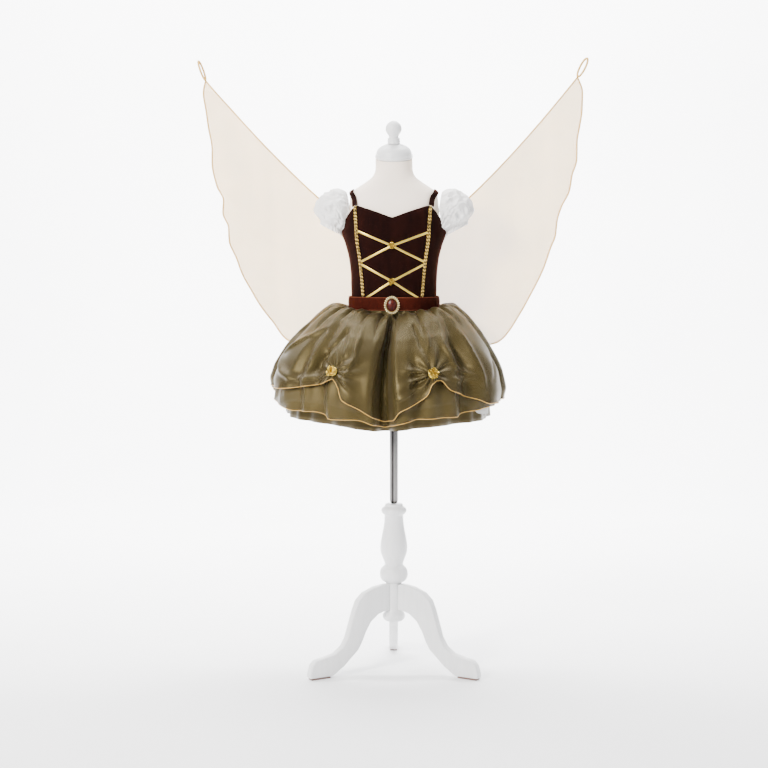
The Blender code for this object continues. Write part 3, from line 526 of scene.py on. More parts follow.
# Half outlines: radius, level
CAP_PROFILE = (
    (0.0, 0.0), (0.0400, 0.0), (0.0428, 0.003), (0.0428, 0.009), (0.0405, 0.0115), (0.0405, 0.015),
    (0.0390, 0.019), (0.0350, 0.0245), (0.0290, 0.0285), (0.0210, 0.0315), (0.0150, 0.0350), (0.0, 0.0350),
)
FINIAL_PROFILE = (
    (0.0, 0.0), (0.0140, 0.0), (0.0150, 0.004), (0.0135, 0.007), (0.0145, 0.011), (0.0100, 0.0145),
    (0.0130, 0.0205), (0.0175, 0.0265), (0.0190, 0.0335), (0.0175, 0.0405), (0.0130, 0.0465),
    (0.0070, 0.0505), (0.0, 0.0520),
)
COLUMN_PROFILE = (
    (0.0, 0.389), (0.0200, 0.389), (0.0212, 0.3865), (0.0212, 0.3835), (0.0250, 0.3815), (0.0283, 0.3785),
    (0.0298, 0.374), (0.0290, 0.3695), (0.0262, 0.366), (0.0222, 0.364), (0.0217, 0.357), (0.0228, 0.343),
    (0.0258, 0.325), (0.0295, 0.307), (0.0318, 0.292), (0.0318, 0.281), (0.0295, 0.270), (0.0250, 0.260),
    (0.0220, 0.252), (0.0213, 0.246), (0.0240, 0.2425), (0.0290, 0.239), (0.0322, 0.232), (0.0330, 0.224),
    (0.0318, 0.216), (0.0285, 0.2095), (0.0240, 0.207), (0.0183, 0.205), (0.0183, 0.138), (0.0230, 0.134),
    (0.0260, 0.129), (0.0264, 0.124), (0.0245, 0.118), (0.0200, 0.114), (0.0, 0.114),
)
POLE_PROFILE = ((0.0, 0.6995), (0.0094, 0.6995), (0.0100, 0.6985), (0.0100, 0.390), (0.0, 0.390))


TURN_STEPS = 48
TOOL_LINE = math.radians(38)
FINIAL_SEAT = 0.0353


def turned_piece(name, profile, look, slot, node, place=Matrix()):
    bm = spun_bmesh(profile, TURN_STEPS)
    crease = bm.edges.layers.float.new("crease_edge")
    for edge in bm.edges:
        if edge.calc_face_angle(0) > TOOL_LINE:
            edge[crease] = 0.75
    bmesh.ops.recalc_face_normals(bm, faces=bm.faces)
    bmesh.ops.transform(bm, matrix=place, verts=bm.verts)
    piece = keep(name, bm, look, slot, node)
    round_off = piece.modifiers.new("Round", "SUBSURF")
    round_off.levels = 1
    round_off.render_levels = 1
    return piece


neck = FORM_TURN @ Matrix.Translation(NECK_TOP) @ Matrix.Rotation(NECK_TILT, 4, "X")
cap_top = neck @ Matrix.Translation((0, 0, FINIAL_SEAT))
turned = [
    turned_piece("neck_cap_turned", CAP_PROFILE, paint_finish, "paint", "neck_cap", neck),
    turned_piece("finial_turned", FINIAL_PROFILE, paint_finish, "paint", "finial", cap_top),
    turned_piece("column_turned", COLUMN_PROFILE, paint_finish, "paint", "stand_column"),
    turned_piece("pole_tube", POLE_PROFILE, steel_finish, "chrome", "stand_pole"),
]
print("turned pieces:", len(turned))


# %% [markdown]
# The legs are sawn from board, so copies of their solids with rounded edges are true to them.
# The body is a cloth grid closed round its rings, with its upper end bent back a little for
# the tilted neck and both ends filled.


# %% Legs, pads and the padded body
for side in ("front_right", "front_left", "back"):
    rounded_copy("leg_" + side, "stand_leg_" + side, paint_finish, "paint", 3.2 * MM)
    rounded_copy("pad_" + side, "stand_pad_" + side, felt_finish, "felt", 0.8 * MM)


def form_point(u, v):
    level = lerp(TORSO[-1][0], TORSO[0][0], v)
    point = ring_point(360 * u, *read_table(TORSO, level), level, BODY_SQUARENESS)
    bend = smooth_step(1.142, NECK_TOP.z, level)
    point.y += NECK_TOP.y * smooth_step(1.12, NECK_TOP.z, level)
    turn = Matrix.Rotation(NECK_TILT * bend, 4, "X")
    return FORM_TURN @ (NECK_TOP + turn @ (point - NECK_TOP)) if bend else FORM_TURN @ point


bm = cloth_bmesh(form_point, 96, 130, closed=True)
rims = [edge for edge in bm.edges if edge.is_boundary]
for edge in rims:
    edge.smooth = False
bmesh.ops.holes_fill(bm, edges=rims, sides=0)
bmesh.ops.recalc_face_normals(bm, faces=bm.faces)
keep("form_body", bm, jersey_finish, "jersey", "torso")


# %% [markdown]
# ## The bodice
#
# Five velvet panels meet at seams: two under the braids, one at each side and one down the
# back. Each is a fine grid on the body's rings, pulled in a hair at its seams, turned over at
# its top edge, and very slightly wrinkled where it is drawn in at the waist.


# %% Bodice panels and straps
# Level, half width, half depth
BODICE = (
    (0.8585, 0.0964, 0.0764), (0.873, 0.0975, 0.0768), (0.920, 0.0990, 0.0790), (0.959, 0.1035, 0.0812),
    (0.990, 0.1115, 0.0832), (1.015, 0.1190, 0.0836), (1.040, 0.1185, 0.0820), (1.062, 0.1130, 0.0790),
    (1.080, 0.1075, 0.0730),
)
# Angle from the centre front, level of the top edge
BODICE_TOP = (
    (0, 1.0505), (7, 1.0568), (14, 1.0622), (28, 1.0703), (46, 1.077), (55, 1.068), (64, 1.048),
    (74, 1.034), (90, 1.014), (106, 1.032), (118, 1.050), (127, 1.067), (136, 1.074), (158, 1.070),
    (180, 1.066),
)
# Level, distance of the braid from the centre
BRAID_LINE = (
    (0.872, 0.0664), (0.920, 0.0703), (0.9585, 0.0742), (1.003, 0.0805), (1.035, 0.0825), (1.075, 0.0850),
)
BODICE_BOTTOM = 0.8585
BODICE_WALL = 1.5 * MM


def on_rings(rows, angle, level, out=0.0):
    """A point on the rings, moved out square to them."""
    half_width, half_depth = read_table(rows, level)
    here = ring_point(angle, half_width, half_depth, level, BODY_SQUARENESS)
    before = ring_point(angle - 0.5, half_width, half_depth, level, BODY_SQUARENESS)
    after = ring_point(angle + 0.5, half_width, half_depth, level, BODY_SQUARENESS)
    along = after - before
    return here + Vector((along.y, -along.x, 0)).normalized() * out


def angle_at(rows, x, level):
    half_width = read_table(rows, level)[0]
    share = min(max(x / half_width, -1.0), 1.0)
    return math.degrees(math.asin(signed_power(share, BODY_SQUARENESS / 2)))


def braid_angle(level):
    return angle_at(BODICE, read_table(BRAID_LINE, level)[0], level)


def bodice_top(angle):
    return read_table(BODICE_TOP, abs(wrapped(angle)))[0]


def velvet_lift(point, u, v):
    """Turned-over top edge, seams pulled in, and small wrinkles towards the waist."""
    edge = 0.5 * MM * (1 - smooth_step(0.0, 0.05, v))
    seam = -0.7 * MM * (1 - smooth_step(0.0, 0.05, min(u, 1 - u)))
    wrinkle = noise.noise(Vector((point.x * 22, point.y * 22, point.z * 60)))
    return edge + seam + 0.7 * MM * wrinkle * smooth_step(0.25, 0.9, v) * smooth_step(0, 0.1, min(u, 1 - u))


def bodice_panel(name, start, end, columns, *nodes):
    def point(u, v):
        guess = lerp(bodice_top(lerp(start(1.0), end(1.0), u)), BODICE_BOTTOM, v)
        angle = lerp(start(guess), end(guess), u)
        level = lerp(bodice_top(angle), BODICE_BOTTOM, v)
        flat = on_rings(BODICE, angle, level)
        return FORM_TURN @ on_rings(BODICE, angle, level, velvet_lift(flat, u, v))

    bm = cloth_bmesh(point, columns, 70)
    face_out(bm, from_axis)
    return give_wall(keep(name, bm, bodice_finish, "brown_velvet", *nodes), BODICE_WALL)


panels = [
    bodice_panel("velvet_front", lambda z: -braid_angle(z), braid_angle, 90, "bodice_front"),
    bodice_panel("velvet_side_left", braid_angle, lambda z: 90, 50, "bodice_side_left"),
    bodice_panel("velvet_side_right", lambda z: -90, lambda z: -braid_angle(z), 50, "bodice_side_right"),
    bodice_panel("velvet_back_left", lambda z: 90, lambda z: 180, 70, "bodice_back_left"),
    bodice_panel("velvet_back_right", lambda z: -180, lambda z: -90, 70, "bodice_back_right"),
]

# Share along the strap, then angle and level of its inner edge and of its outer edge
STRAP_EDGES = (
    (0.00, 47.0, 1.0795, 57.0, 1.0745),
    (0.12, 51.0, 1.0930, 62.0, 1.0870),
    (0.25, 58.0, 1.1050, 69.0, 1.0985),
    (0.38, 72.0, 1.1135, 79.0, 1.1065),
    (0.50, 90.0, 1.1165, 90.0, 1.1085),
    (0.62, 106.0, 1.1120, 100.0, 1.1045),
    (0.75, 120.0, 1.1010, 110.0, 1.0945),
    (0.88, 128.0, 1.0910, 117.0, 1.0850),
    (1.00, 134.0, 1.0780, 124.0, 1.0735),
)
STRAP_LIFT = 3.2 * MM


def strap_point(sign, u, v):
    """v runs along the strap, u across it, and the middle stands up a little like a stuffed tube."""
    inner_angle, inner_level, outer_angle, outer_level = read_table(STRAP_EDGES, v)
    ends = STRAP_LIFT + 3.6 * MM * (1 - smooth_step(0.0, 0.2, min(v, 1 - v)))
    ends += 3.2 * MM * smooth_step(0.08, 0.34, v) * (1 - smooth_step(0.42, 0.75, v))
    inner = on_rings(TORSO, sign * inner_angle, inner_level, ends)
    outer = on_rings(TORSO, sign * outer_angle, outer_level, ends)
    point = inner.lerp(outer, u)
    outward = Vector((point.x, point.y, 0.12)).normalized()
    return FORM_TURN @ (point + outward * 1.4 * MM * (math.sin(math.pi * u) ** 0.6 - 0.6))


for side, sign in (("left", 1), ("right", -1)):
    bm = cloth_bmesh(lambda u, v, sign=sign: strap_point(sign, u, v), 10, 90)
    face_out(bm, lambda centre: centre - Vector((0, 0, 1.02)))
    strap = keep("velvet_strap_" + side, bm, bodice_finish, "brown_velvet", "strap_" + side)
    give_wall(strap, BODICE_WALL)


# %% [markdown]
# ## Braid, lacing and knots
#
# The braid is gimp: three gold cords plaited flat, with scalloped edges. Each strand swings
# from side to side and lifts over the next, a third of a turn behind it. The lacing is flat
# metallic ribbon, crossed twice, with a folded ribbon knot sewn over each crossing.


# %% Braids
BELT_TOP = 0.871
BELT_BOTTOM = 0.841
BRAID_SWING = 3.6 * MM
BRAID_STRAND = 1.1 * MM
BRAID_TURNS = 9
BRAID_STEPS = BRAID_TURNS * 22
BODY_RADIUS = 0.1

braids = []
for side, sign in (("left", 1), ("right", -1)):
    bm = bmesh.new()
    top = bodice_top(braid_angle(1.07)) - 1 * MM
    for strand in range(3):
        path = []
        for i in range(BRAID_STEPS + 1):
            s = i / BRAID_STEPS
            phase = math.tau * (BRAID_TURNS * s + strand / 3)
            level = lerp(BELT_TOP + 0.5 * MM, top, s)
            across = math.degrees(BRAID_SWING * math.sin(phase) / BODY_RADIUS)
            lift = 1.5 * MM + 0.55 * MM * math.cos(2 * phase)
            path.append(FORM_TURN @ on_rings(BODICE, sign * braid_angle(level) + across, level, lift))
        cord_bmesh(bm, path, BRAID_STRAND, 6)
    braids.append(keep("gimp_" + side, bm, braid_finish, "gold_braid", "braid_" + side))
print("plaited braids:", len(braids))


# %% [markdown]
# A ribbon of the lacing is a narrow grid that runs from one braid to the other in two straight
# stretches, through its crossing. The one on top is lifted over the one below, and the lowest
# ends are tucked under the belt.


# %% Ribbons
RIBBON_WIDTH = 4.9 * MM
RIBBON_WALL = 0.5 * MM
# Node, then distance from the centre and level of start, crossing and end, and 1 for the upper one
LACING = (
    ("lacing_1", -0.0790, 1.0200, 0.0, 0.9870, 0.0715, 0.9505, 0),
    ("lacing_2", 0.0790, 1.0165, 0.0, 0.9870, -0.0715, 0.9505, 1),
    ("lacing_3", -0.0700, 0.9445, 0.0, 0.9070, 0.0580, 0.8690, 0),
    ("lacing_4", 0.0700, 0.9445, 0.0, 0.9070, -0.0590, 0.8690, 1),
)


def ribbon_point(row, u, v):
    """u runs along the ribbon, v across; it lies over the bodice and over the ribbon below it."""
    x0, z0, x1, z1, x2, z2, over = row[1:]
    s = 2 * u
    x, level = (lerp(x0, x1, s), lerp(z0, z1, s)) if s < 1 else (lerp(x1, x2, s - 1), lerp(z1, z2, s - 1))
    slant = math.atan2(z2 - z0, x2 - x0)
    away = (v - 0.5) * RIBBON_WIDTH
    x -= math.sin(slant) * away
    level += math.cos(slant) * away
    crossing = 1 - smooth_step(0.0, 0.16, abs(u - 0.5))
    bow = 0.35 * MM * math.cos(math.pi * (v - 0.5)) + 0.25 * MM * noise.noise(Vector((u * 9, v * 3, z0 * 50)))
    lift = 1.1 * MM + over * 1.5 * MM * crossing + bow
    return FORM_TURN @ on_rings(BODICE, angle_at(BODICE, x, level), level, lift)


ribbons = []
for row in LACING:
    bm = cloth_bmesh(lambda u, v, row=row: ribbon_point(row, u, v), 80, 6)
    face_out(bm, from_axis)
    piece = keep("ribbon_" + row[0][-1], bm, ribbon_finish, "gold_ribbon", row[0])
    ribbons.append(give_wall(piece, RIBBON_WALL))
print("ribbons:", len(ribbons))


# %% [markdown]
# A ribbon rose is one ribbon rolled up on its edge: tight in the middle and opening outwards,
# with its outer edge leaning out and waving like petals. The knots on the lacing are the
# same ribbon rolled tighter and flatter. Both start as a flat grid that is wound on a spiral.


# %% Ribbon roses
def ribbon_rose(name, node, at, turn, lean, width, height, turns, petals, seed):
    """Winds a ribbon from the middle out, facing -Y before it is turned."""

    def point(u, v):
        angle = math.tau * turns * u + seed
        wave = 0.12 * math.cos(petals * angle + seed) + 0.07 * math.sin(2.3 * petals * angle + 2 * seed)
        open_out = lerp(0.25, 1.0, u)
        radius = width / 2 * lerp(0.10, 0.78, u) * (1 + wave * (1 - v) * open_out)
        radius += width * 0.16 * (1 - v) ** 2 * open_out
        crest = 1 + 0.14 * math.cos(petals * angle + 1.1 + seed)
        rise = height * lerp(1.0, 0.62, u ** 1.5) * (1 - v) * crest
        curl = 0.12 * height * math.sin(math.pi * (1 - v)) * open_out
        return Vector((radius * math.cos(angle), -rise - curl, radius * math.sin(angle)))

    bm = cloth_bmesh(point, 150, 8)
    seat = bmesh.ops.create_uvsphere(bm, u_segments=24, v_segments=12, radius=1.0)["verts"]
    flat = Matrix.Diagonal((width * 0.42, height * 0.36, width * 0.42, 1))
    bmesh.ops.transform(bm, matrix=flat, verts=seat)
    place = Matrix.Translation(at) @ Matrix.Rotation(turn, 4, "Z") @ Matrix.Rotation(lean, 4, "X")
    bmesh.ops.transform(bm, matrix=FORM_TURN @ place, verts=bm.verts)
    return give_wall(keep(name, bm, rose_finish, "gold_ribbon", node), 0.35 * MM, 0)


knots = []
for name, level, seed in (("knot_top", 0.9870, 0.4), ("knot_bottom", 0.9070, 2.1)):
    at = on_rings(BODICE, 0, level, 2.6 * MM)
    knots.append(ribbon_rose("rolled_" + name, name, at, 0, 0, 15.5 * MM, 8.0 * MM, 2.4, 4, seed))
print("knots:", len(knots))


# %% [markdown]
# ## Belt and buckle
#
# The belt is a velvet band over a stiff core, so it stands off the skirt's gathers. Its edges
# are turned over a fine cord, coloured a lighter red-brown velvet: a painted sheen that gives the
# thin lighter line along both of them. The band is one closed grid round the waist, and each cord
# is a closed ring.


# %% Belt
BELT_OUT = 9.6 * MM
WAIST_HALF_WIDTH, WAIST_HALF_DEPTH = 0.0940, 0.0740


def waist_ring(angle, level, out):
    return ring_point(angle, WAIST_HALF_WIDTH + out, WAIST_HALF_DEPTH + out, level, BODY_SQUARENESS)


def belt_point(u, v):
    angle = 360 * u - 180
    a = math.radians(angle)
    wrinkle = noise.noise(Vector((math.sin(a) * 9, math.cos(a) * 9, v * 1.5)))
    sag = 0.8 * MM * noise.noise(Vector((angle * 0.03, 7.3, 0)))
    bulge = 1.2 * MM * math.sin(math.pi * v) ** 0.7 - 0.8 * MM * (1 - smooth_step(0.0, 0.06, min(v, 1 - v)))
    level = lerp(BELT_TOP, BELT_BOTTOM, v) + sag * smooth_step(0, 0.3, min(v, 1 - v))
    return FORM_TURN @ waist_ring(angle, level, BELT_OUT + bulge + 0.9 * MM * wrinkle * math.sin(math.pi * v))


bm = cloth_bmesh(belt_point, 300, 22, closed=True)
face_out(bm, from_axis)
belt = give_wall(keep("velvet_belt", bm, belt_finish, "belt_velvet", "belt"), 1.6 * MM)

piping = bmesh.new()
for level in (BELT_TOP - 0.9 * MM, BELT_BOTTOM + 0.9 * MM):
    ring = [FORM_TURN @ waist_ring(2 * k, level, BELT_OUT - 0.1 * MM) for k in range(180)]
    cord_bmesh(piping, ring, 0.8 * MM, 6, closed=True)
# The edge cords wear the lighter velvet, a painted sheen along both edges.
belt_piping = keep("belt_edges", piping, belt_edge_sheen_finish, "belt_velvet")
print("belt height in mm:", round((BELT_TOP - BELT_BOTTOM) / MM, 1))


# %% [markdown]
# The buckle is a ring of cast beads on an oval setting, round a stone cut with flat facets.
# The setting is gold, coloured dark so that the gaps between the beads show a painted shade.
# A bead is a small icosphere stretched away from the centre, and the stone is a turned body of
# few steps, triangulated and left unsmoothed, so that its facets stay flat.


# %% Buckle
BUCKLE_LEVEL = 0.8535
BUCKLE_HALF_WIDTH, BUCKLE_HALF_HEIGHT = 0.0150, 0.0180
BEADS = 24
BEAD_RADIUS = 1.75 * MM
BEAD_STRETCH = 1.7
STONE_HALF_WIDTH, STONE_HALF_HEIGHT, STONE_DEPTH = 0.0110, 0.0140, 5.0 * MM
front = waist_ring(0, BUCKLE_LEVEL, BELT_OUT + 1.2 * MM).y


def oval_point(angle, share, depth):
    """A point on the buckle's oval, at a share of its size, this far in front of the belt."""
    return FORM_TURN @ Vector((
        share * BUCKLE_HALF_WIDTH * math.cos(angle),
        front - depth,
        BUCKLE_LEVEL + share * BUCKLE_HALF_HEIGHT * math.sin(angle),
    ))


bm = bmesh.new()
for k in range(BEADS):
    turn = math.tau * k / BEADS
    long_bead = Matrix.Rotation(-turn, 4, "Y") @ Matrix.Diagonal((BEAD_STRETCH, 1, 1, 1))
    bead = Matrix.Translation(oval_point(turn, 1.03, 3.2 * MM)) @ long_bead
    bmesh.ops.create_icosphere(bm, subdivisions=3, radius=BEAD_RADIUS, matrix=bead)
keep("buckle_beads", bm, bead_finish, "gold_beads", "buckle_ring")
bm = bmesh.new()
for share, depth, radius in ((0.97, 1.2 * MM, 1.5 * MM), (0.82, 1.8 * MM, 0.8 * MM)):
    ring = [oval_point(math.tau * k / 72, share, depth) for k in range(72)]
    cord_bmesh(bm, ring, radius, 10, closed=True)
keep("buckle_setting", bm, setting_and_gap_shade_finish, "gold_beads")

STONE_PROFILE = ((0.0, 0.0), (0.93, 0.0), (1.0, 0.2), (0.80, 0.62), (0.48, 0.92), (0.0, 1.0))
bm = spun_bmesh(STONE_PROFILE, 14)
bmesh.ops.triangulate(bm, faces=[face for face in bm.faces if len(face.verts) == 4])
bmesh.ops.recalc_face_normals(bm, faces=bm.faces)
bmesh.ops.bevel(
    bm, geom=list(bm.edges), offset=0.02, segments=1, profile=0.5, affect="EDGES", material=-1,
    clamp_overlap=True,
)
size = Matrix.Diagonal((STONE_HALF_WIDTH, STONE_HALF_HEIGHT, STONE_DEPTH, 1))
place = Matrix.Translation((0, front - 0.3 * MM, BUCKLE_LEVEL)) @ Matrix.Rotation(math.radians(90), 4, "X")
bmesh.ops.transform(bm, matrix=FORM_TURN @ place @ size, verts=bm.verts)
keep("cut_stone", bm, stone_finish, "stone", "buckle_stone", smooth=False)
print("belt, its edges and the buckle:", BEADS, "beads")


# %% [markdown]
# ## The skirt
#
# Four layers hang from the waist seam: a glossy overskirt caught up by two roses, a sheer
# underskirt, a tulle petticoat and a satin lining. All share one set of folds. Each fold is a
# ridge or valley given by its angle at the waist and at the hem, its half width and its depth,
# and it fades in some way below the waist. Small uneven gathers sit right under the belt.


# %% Skirt tables
# Share of the way down, level, growth of half width and half depth, shift sideways, lift at the sides
SKIRT_UPPER = (
    (0.00, 0.8565, 0.000, 0.000, 0.000, 0.000),
    (0.07, 0.8375, 0.000, 0.000, 0.000, 0.000),
    (0.10, 0.8362, 0.005, 0.005, 0.000, 0.001),
    (0.14, 0.8372, 0.014, 0.012, -0.001, 0.009),
    (0.20, 0.8330, 0.036, 0.032, -0.002, 0.018),
    (0.28, 0.8180, 0.064, 0.058, -0.004, 0.017),
    (0.40, 0.7860, 0.104, 0.096, -0.007, 0.008),
)
UPPER_END = 0.40
LONGEST_HEM = 0.590
# Level, half width, half depth, shift sideways
SKIRT_LOWER = (
    (0.560, 0.284, 0.247, -0.013), (0.620, 0.281, 0.246, -0.014), (0.660, 0.277, 0.243, -0.015),
    (0.680, 0.272, 0.239, -0.015), (0.700, 0.265, 0.232, -0.014), (0.720, 0.255, 0.223, -0.013),
    (0.740, 0.243, 0.212, -0.012), (0.760, 0.229, 0.199, -0.011), (0.786, 0.205, 0.177, -0.007),
)
# Folds: angle at the waist and at the hem, half width, depth (out is more), where it starts
FOLDS = (
    (0, 1, 7.5, -0.024, 0.12), (-24, -17, 11, 0.007, 0.20), (-42, -31, 7, -0.016, 0.15),
    (-62, -60, 14, 0.008, 0.20), (-48, -45, 6, -0.012, 0.20), (-80, -76, 8, -0.014, 0.15),
    (12, 10, 8, 0.005, 0.20), (15, 17, 5, -0.009, 0.25), (27, 23, 7, 0.008, 0.20), (46, 44, 8, -0.020, 0.15),
    (62, 62, 14, 0.008, 0.20), (78, 80, 7, -0.012, 0.20), (98, 102, 8, -0.015, 0.15),
    (118, 121, 8, -0.016, 0.20), (140, 142, 9, -0.014, 0.15), (160, 163, 8, -0.016, 0.20),
    (180, 180, 9, -0.018, 0.15), (-160, -162, 8, -0.014, 0.20), (-140, -141, 8, -0.016, 0.15),
    (-120, -119, 9, -0.015, 0.20), (-101, -98, 7, -0.013, 0.15),
)
# Hems: angle, level
OVER_HEM = (
    (-180, 0.625), (-150, 0.688), (-120, 0.645), (-90, 0.665), (-56, 0.669), (-42, 0.677), (-30, 0.686),
    (-24, 0.6975), (-20, 0.681), (-17.5, 0.655), (-10, 0.638), (-6, 0.6275), (1, 0.6105), (5, 0.6147),
    (8, 0.633), (12.5, 0.642), (17, 0.650), (21, 0.665), (24, 0.690), (28, 0.695), (33.5, 0.672),
    (41.5, 0.660), (49.5, 0.649), (57, 0.637), (70, 0.638), (90, 0.637), (120, 0.650), (150, 0.688),
    (180, 0.625),
)
UNDER_HEM = (
    (-180, 0.598), (-150, 0.604), (-120, 0.630), (-90, 0.660), (-70, 0.643), (-58, 0.631), (-50, 0.621),
    (-36, 0.622), (-24, 0.6085), (-12, 0.613), (-4, 0.604), (1, 0.5975), (8, 0.606), (18, 0.612),
    (30, 0.6125), (37, 0.612), (46, 0.620), (56, 0.627), (66, 0.632), (90, 0.636), (120, 0.612),
    (150, 0.602), (180, 0.598),
)
TULLE_HEM = (
    (-180, 0.615), (-100, 0.625), (-78, 0.620), (-66, 0.633), (-45, 0.640), (0, 0.625), (45, 0.640),
    (58, 0.612), (66, 0.610), (76, 0.630), (120, 0.620), (180, 0.615),
)
LINING_HEM = ((-180, 0.592), (-90, 0.603), (0, 0.587), (90, 0.596), (180, 0.592))
# Layers: node, gap out of the form, inset at the hem and drop in millimetres, share of the lift
# at the sides and of the folds, hem
SKIRT_LAYERS = (
    ("overskirt", 7.2, 0, 0.0, 1.0, 1.0, OVER_HEM),
    ("underskirt", 5.6, 9, 6.0, 0.8, 0.95, UNDER_HEM),
    ("petticoat", 3.9, 30, 11.0, 0.4, 0.7, TULLE_HEM),
    ("lining", 2.0, 42, 15.0, 0.0, 0.6, LINING_HEM),
)
ROSES = (("rose_right", -24.7, 0.713), ("rose_left", 24.2, 0.709))
GATHERS = 18
GATHER_DEPTH = 2.2 * MM
BUCKLE_DIP = 8 * MM
BUCKLE_DIP_ANGLE = 16


def fold_depth(angle, v):
    depth = 0.0
    for top, bottom, half, deep, start in FOLDS:
        away = wrapped(angle - lerp(top, bottom, v))
        if abs(away) < half:
            depth += deep * math.cos(math.pi / 2 * away / half) ** 2 * smooth_step(start, start + 0.45, v)
    return depth


def skirt_point(layer, angle, v, extra=0.0):
    """A point of one layer; extra moves it out square to the body."""
    waist_out, inset, drop, puff, share, hem = layer[1:]
    squareness = lerp(BODY_SQUARENESS, 2.0, smooth_step(0.08, UPPER_END, v))
    waist_width, waist_depth = WAIST_HALF_WIDTH + waist_out * MM, WAIST_HALF_DEPTH + waist_out * MM
    side = math.sin(math.radians(angle)) ** 2
    fall = v
    if v <= UPPER_END:
        level, width, depth, middle, lift = read_table(SKIRT_UPPER, v)
        width, depth = waist_width + width, waist_depth + depth
    else:
        s = (v - UPPER_END) / (1 - UPPER_END)
        top = SKIRT_UPPER[-1]
        level = lerp(top[1], read_table(hem, wrapped(angle))[0], s)
        width, depth, middle = read_table(SKIRT_LOWER, level)
        width -= SKIRT_LOWER[-1][1] - (waist_width + top[2])
        depth -= SKIRT_LOWER[-1][2] - (waist_depth + top[3])
        lift = top[5] * (1 - s) ** 2
        fall = lerp(UPPER_END, 1, (top[1] - level) / (top[1] - LONGEST_HEM))
    out = extra + share * fold_depth(angle, fall) - inset * MM * smooth_step(0.06, 0.7, fall)
    waves = smooth_step(0.07, 0.12, v) * (1 - smooth_step(0.18, 0.42, v))
    out += share * GATHER_DEPTH * waves * math.cos(math.radians(GATHERS * angle))
    level += lift * side * puff - drop * MM * smooth_step(0.0, 0.10, v) * (1 - smooth_step(0.4, 0.8, v))
    level -= BUCKLE_DIP * math.exp(-((wrapped(angle) / BUCKLE_DIP_ANGLE) ** 2)) * smooth_step(0.0, 0.07, v)
    point = ring_point(angle, width + out, depth + out, level, squareness)
    point.x += middle
    return point


print("skirt layers:", len(SKIRT_LAYERS), "big folds:", len(FOLDS))


# %% [markdown]
# What the eye takes for satin is the play of fine folds. Small gathers of uneven width run down
# from the belt and melt into the big folds. Where a rose pinches the cloth, short pleats
# run together at it from all round, deepest near the rose. The longest soft folds of the front
# are drawn one by one: a list of places that the fold passes, with its height and width. The
# cloth also hangs in slow diagonal swells.


# %% Fine folds
def uneven(angle, seed):
    """A small shift of the angle, so that no two gathers are alike; it closes on itself."""
    a = math.radians(angle)
    return 2.6 * math.sin(3 * a + seed) + 1.8 * math.sin(7 * a + 2 * seed) + 1.1 * math.sin(11 * a + 3 * seed)


def gather_relief(angle, v):
    """Rounded gathers with sharp hollows between them, which fade down the skirt one by one."""
    wave = math.cos(math.radians(11 * (angle + uneven(angle, 0.5))))
    big = 12.0 * MM * (abs(wave) ** 0.6 - 0.66)
    fine = 2.2 * MM * math.cos(math.radians(47 * (angle + uneven(angle, 2.0))))
    length = 0.44 + 0.16 * math.sin(math.radians(5 * angle) + 1.0)
    into = smooth_step(0.020, 0.075, v)
    return into * ((1 - smooth_step(0.20, length, v)) * big + (1 - smooth_step(0.12, 0.28, v)) * fine)


def valley_relief(angle, v):
    """The deep fold down the centre front, narrow at the waist and wider at the hem."""
    width = lerp(1.7, 4.0, smooth_step(0.2, 1.0, v))
    away = wrapped(angle - 0.8)
    return -25 * MM * math.exp(-((away / width) ** 4)) * smooth_step(0.09, 0.30, v)


# Folds of the overskirt's front: height and width in millimetres, then angles and levels along it
DRAWN_FOLDS = (
    (7.5, 8, (-37, 0.824), (-56, 0.787), (-72, 0.745), (-60, 0.708), (-48, 0.691), (-35, 0.697),
     (-27, 0.711)),
    (-7, 9, (-28, 0.811), (-30, 0.770), (-37, 0.730), (-38, 0.705)),
    (7, 6, (-18, 0.817), (-16, 0.770), (-15, 0.743), (-18, 0.703), (-14, 0.675)),
    (-7, 7, (-29, 0.806), (-24, 0.759), (-22, 0.731)),
    (5, 8, (-73, 0.838), (-87, 0.789), (-86, 0.736), (-86, 0.694)),
    (4, 6, (5, 0.811), (6, 0.757), (6, 0.674)),
    (5, 5, (25, 0.825), (26, 0.793), (24, 0.757)),
    (-6, 5, (17, 0.817), (20, 0.785), (22, 0.755)),
    (7, 7, (37, 0.807), (35, 0.772), (39, 0.724), (49, 0.700), (40, 0.691), (31, 0.705)),
    (-7, 7, (41, 0.789), (47, 0.734), (49, 0.714)),
    (6, 8, (52, 0.817), (53, 0.755), (54, 0.714), (54, 0.670)),
    (-5, 7, (71, 0.807), (76, 0.751), (62, 0.688)),
    (3.5, 3.5, (22, 0.691), (14, 0.669), (7, 0.652)),
    (3.5, 3.5, (22, 0.706), (12, 0.690)),
    (3, 3.5, (21, 0.716), (11, 0.718)),
    (3.5, 3.5, (-28, 0.709), (-38, 0.687), (-49, 0.676)),
)
SKIRT_REACH = 0.245


def drawn_relief(angle, level):
    """Ridges and hollows along the drawn lines, rounded across and fading at their ends."""
    here = Vector((math.radians(angle) * SKIRT_REACH, level))
    relief = 0.0
    for height, width, *line in DRAWN_FOLDS:
        spots = [Vector((math.radians(a) * SKIRT_REACH, z)) for a, z in line]
        nearest, share = 1.0, 0.0
        for i, (start, end) in enumerate(zip(spots, spots[1:])):
            run = end - start
            s = min(max((here - start).dot(run) / run.length_squared, 0.0), 1.0)
            away = (here - start - s * run).length
            if away < nearest:
                nearest, share = away, (i + s) / (len(spots) - 1)
        reach = nearest / (width * MM)
        if reach < 2.6:
            ends = smooth_step(0.0, 0.22, share) * (1 - 0.7 * smooth_step(0.80, 1.0, share))
            relief += height * MM * ends * math.exp(-(reach ** 2))
    return relief


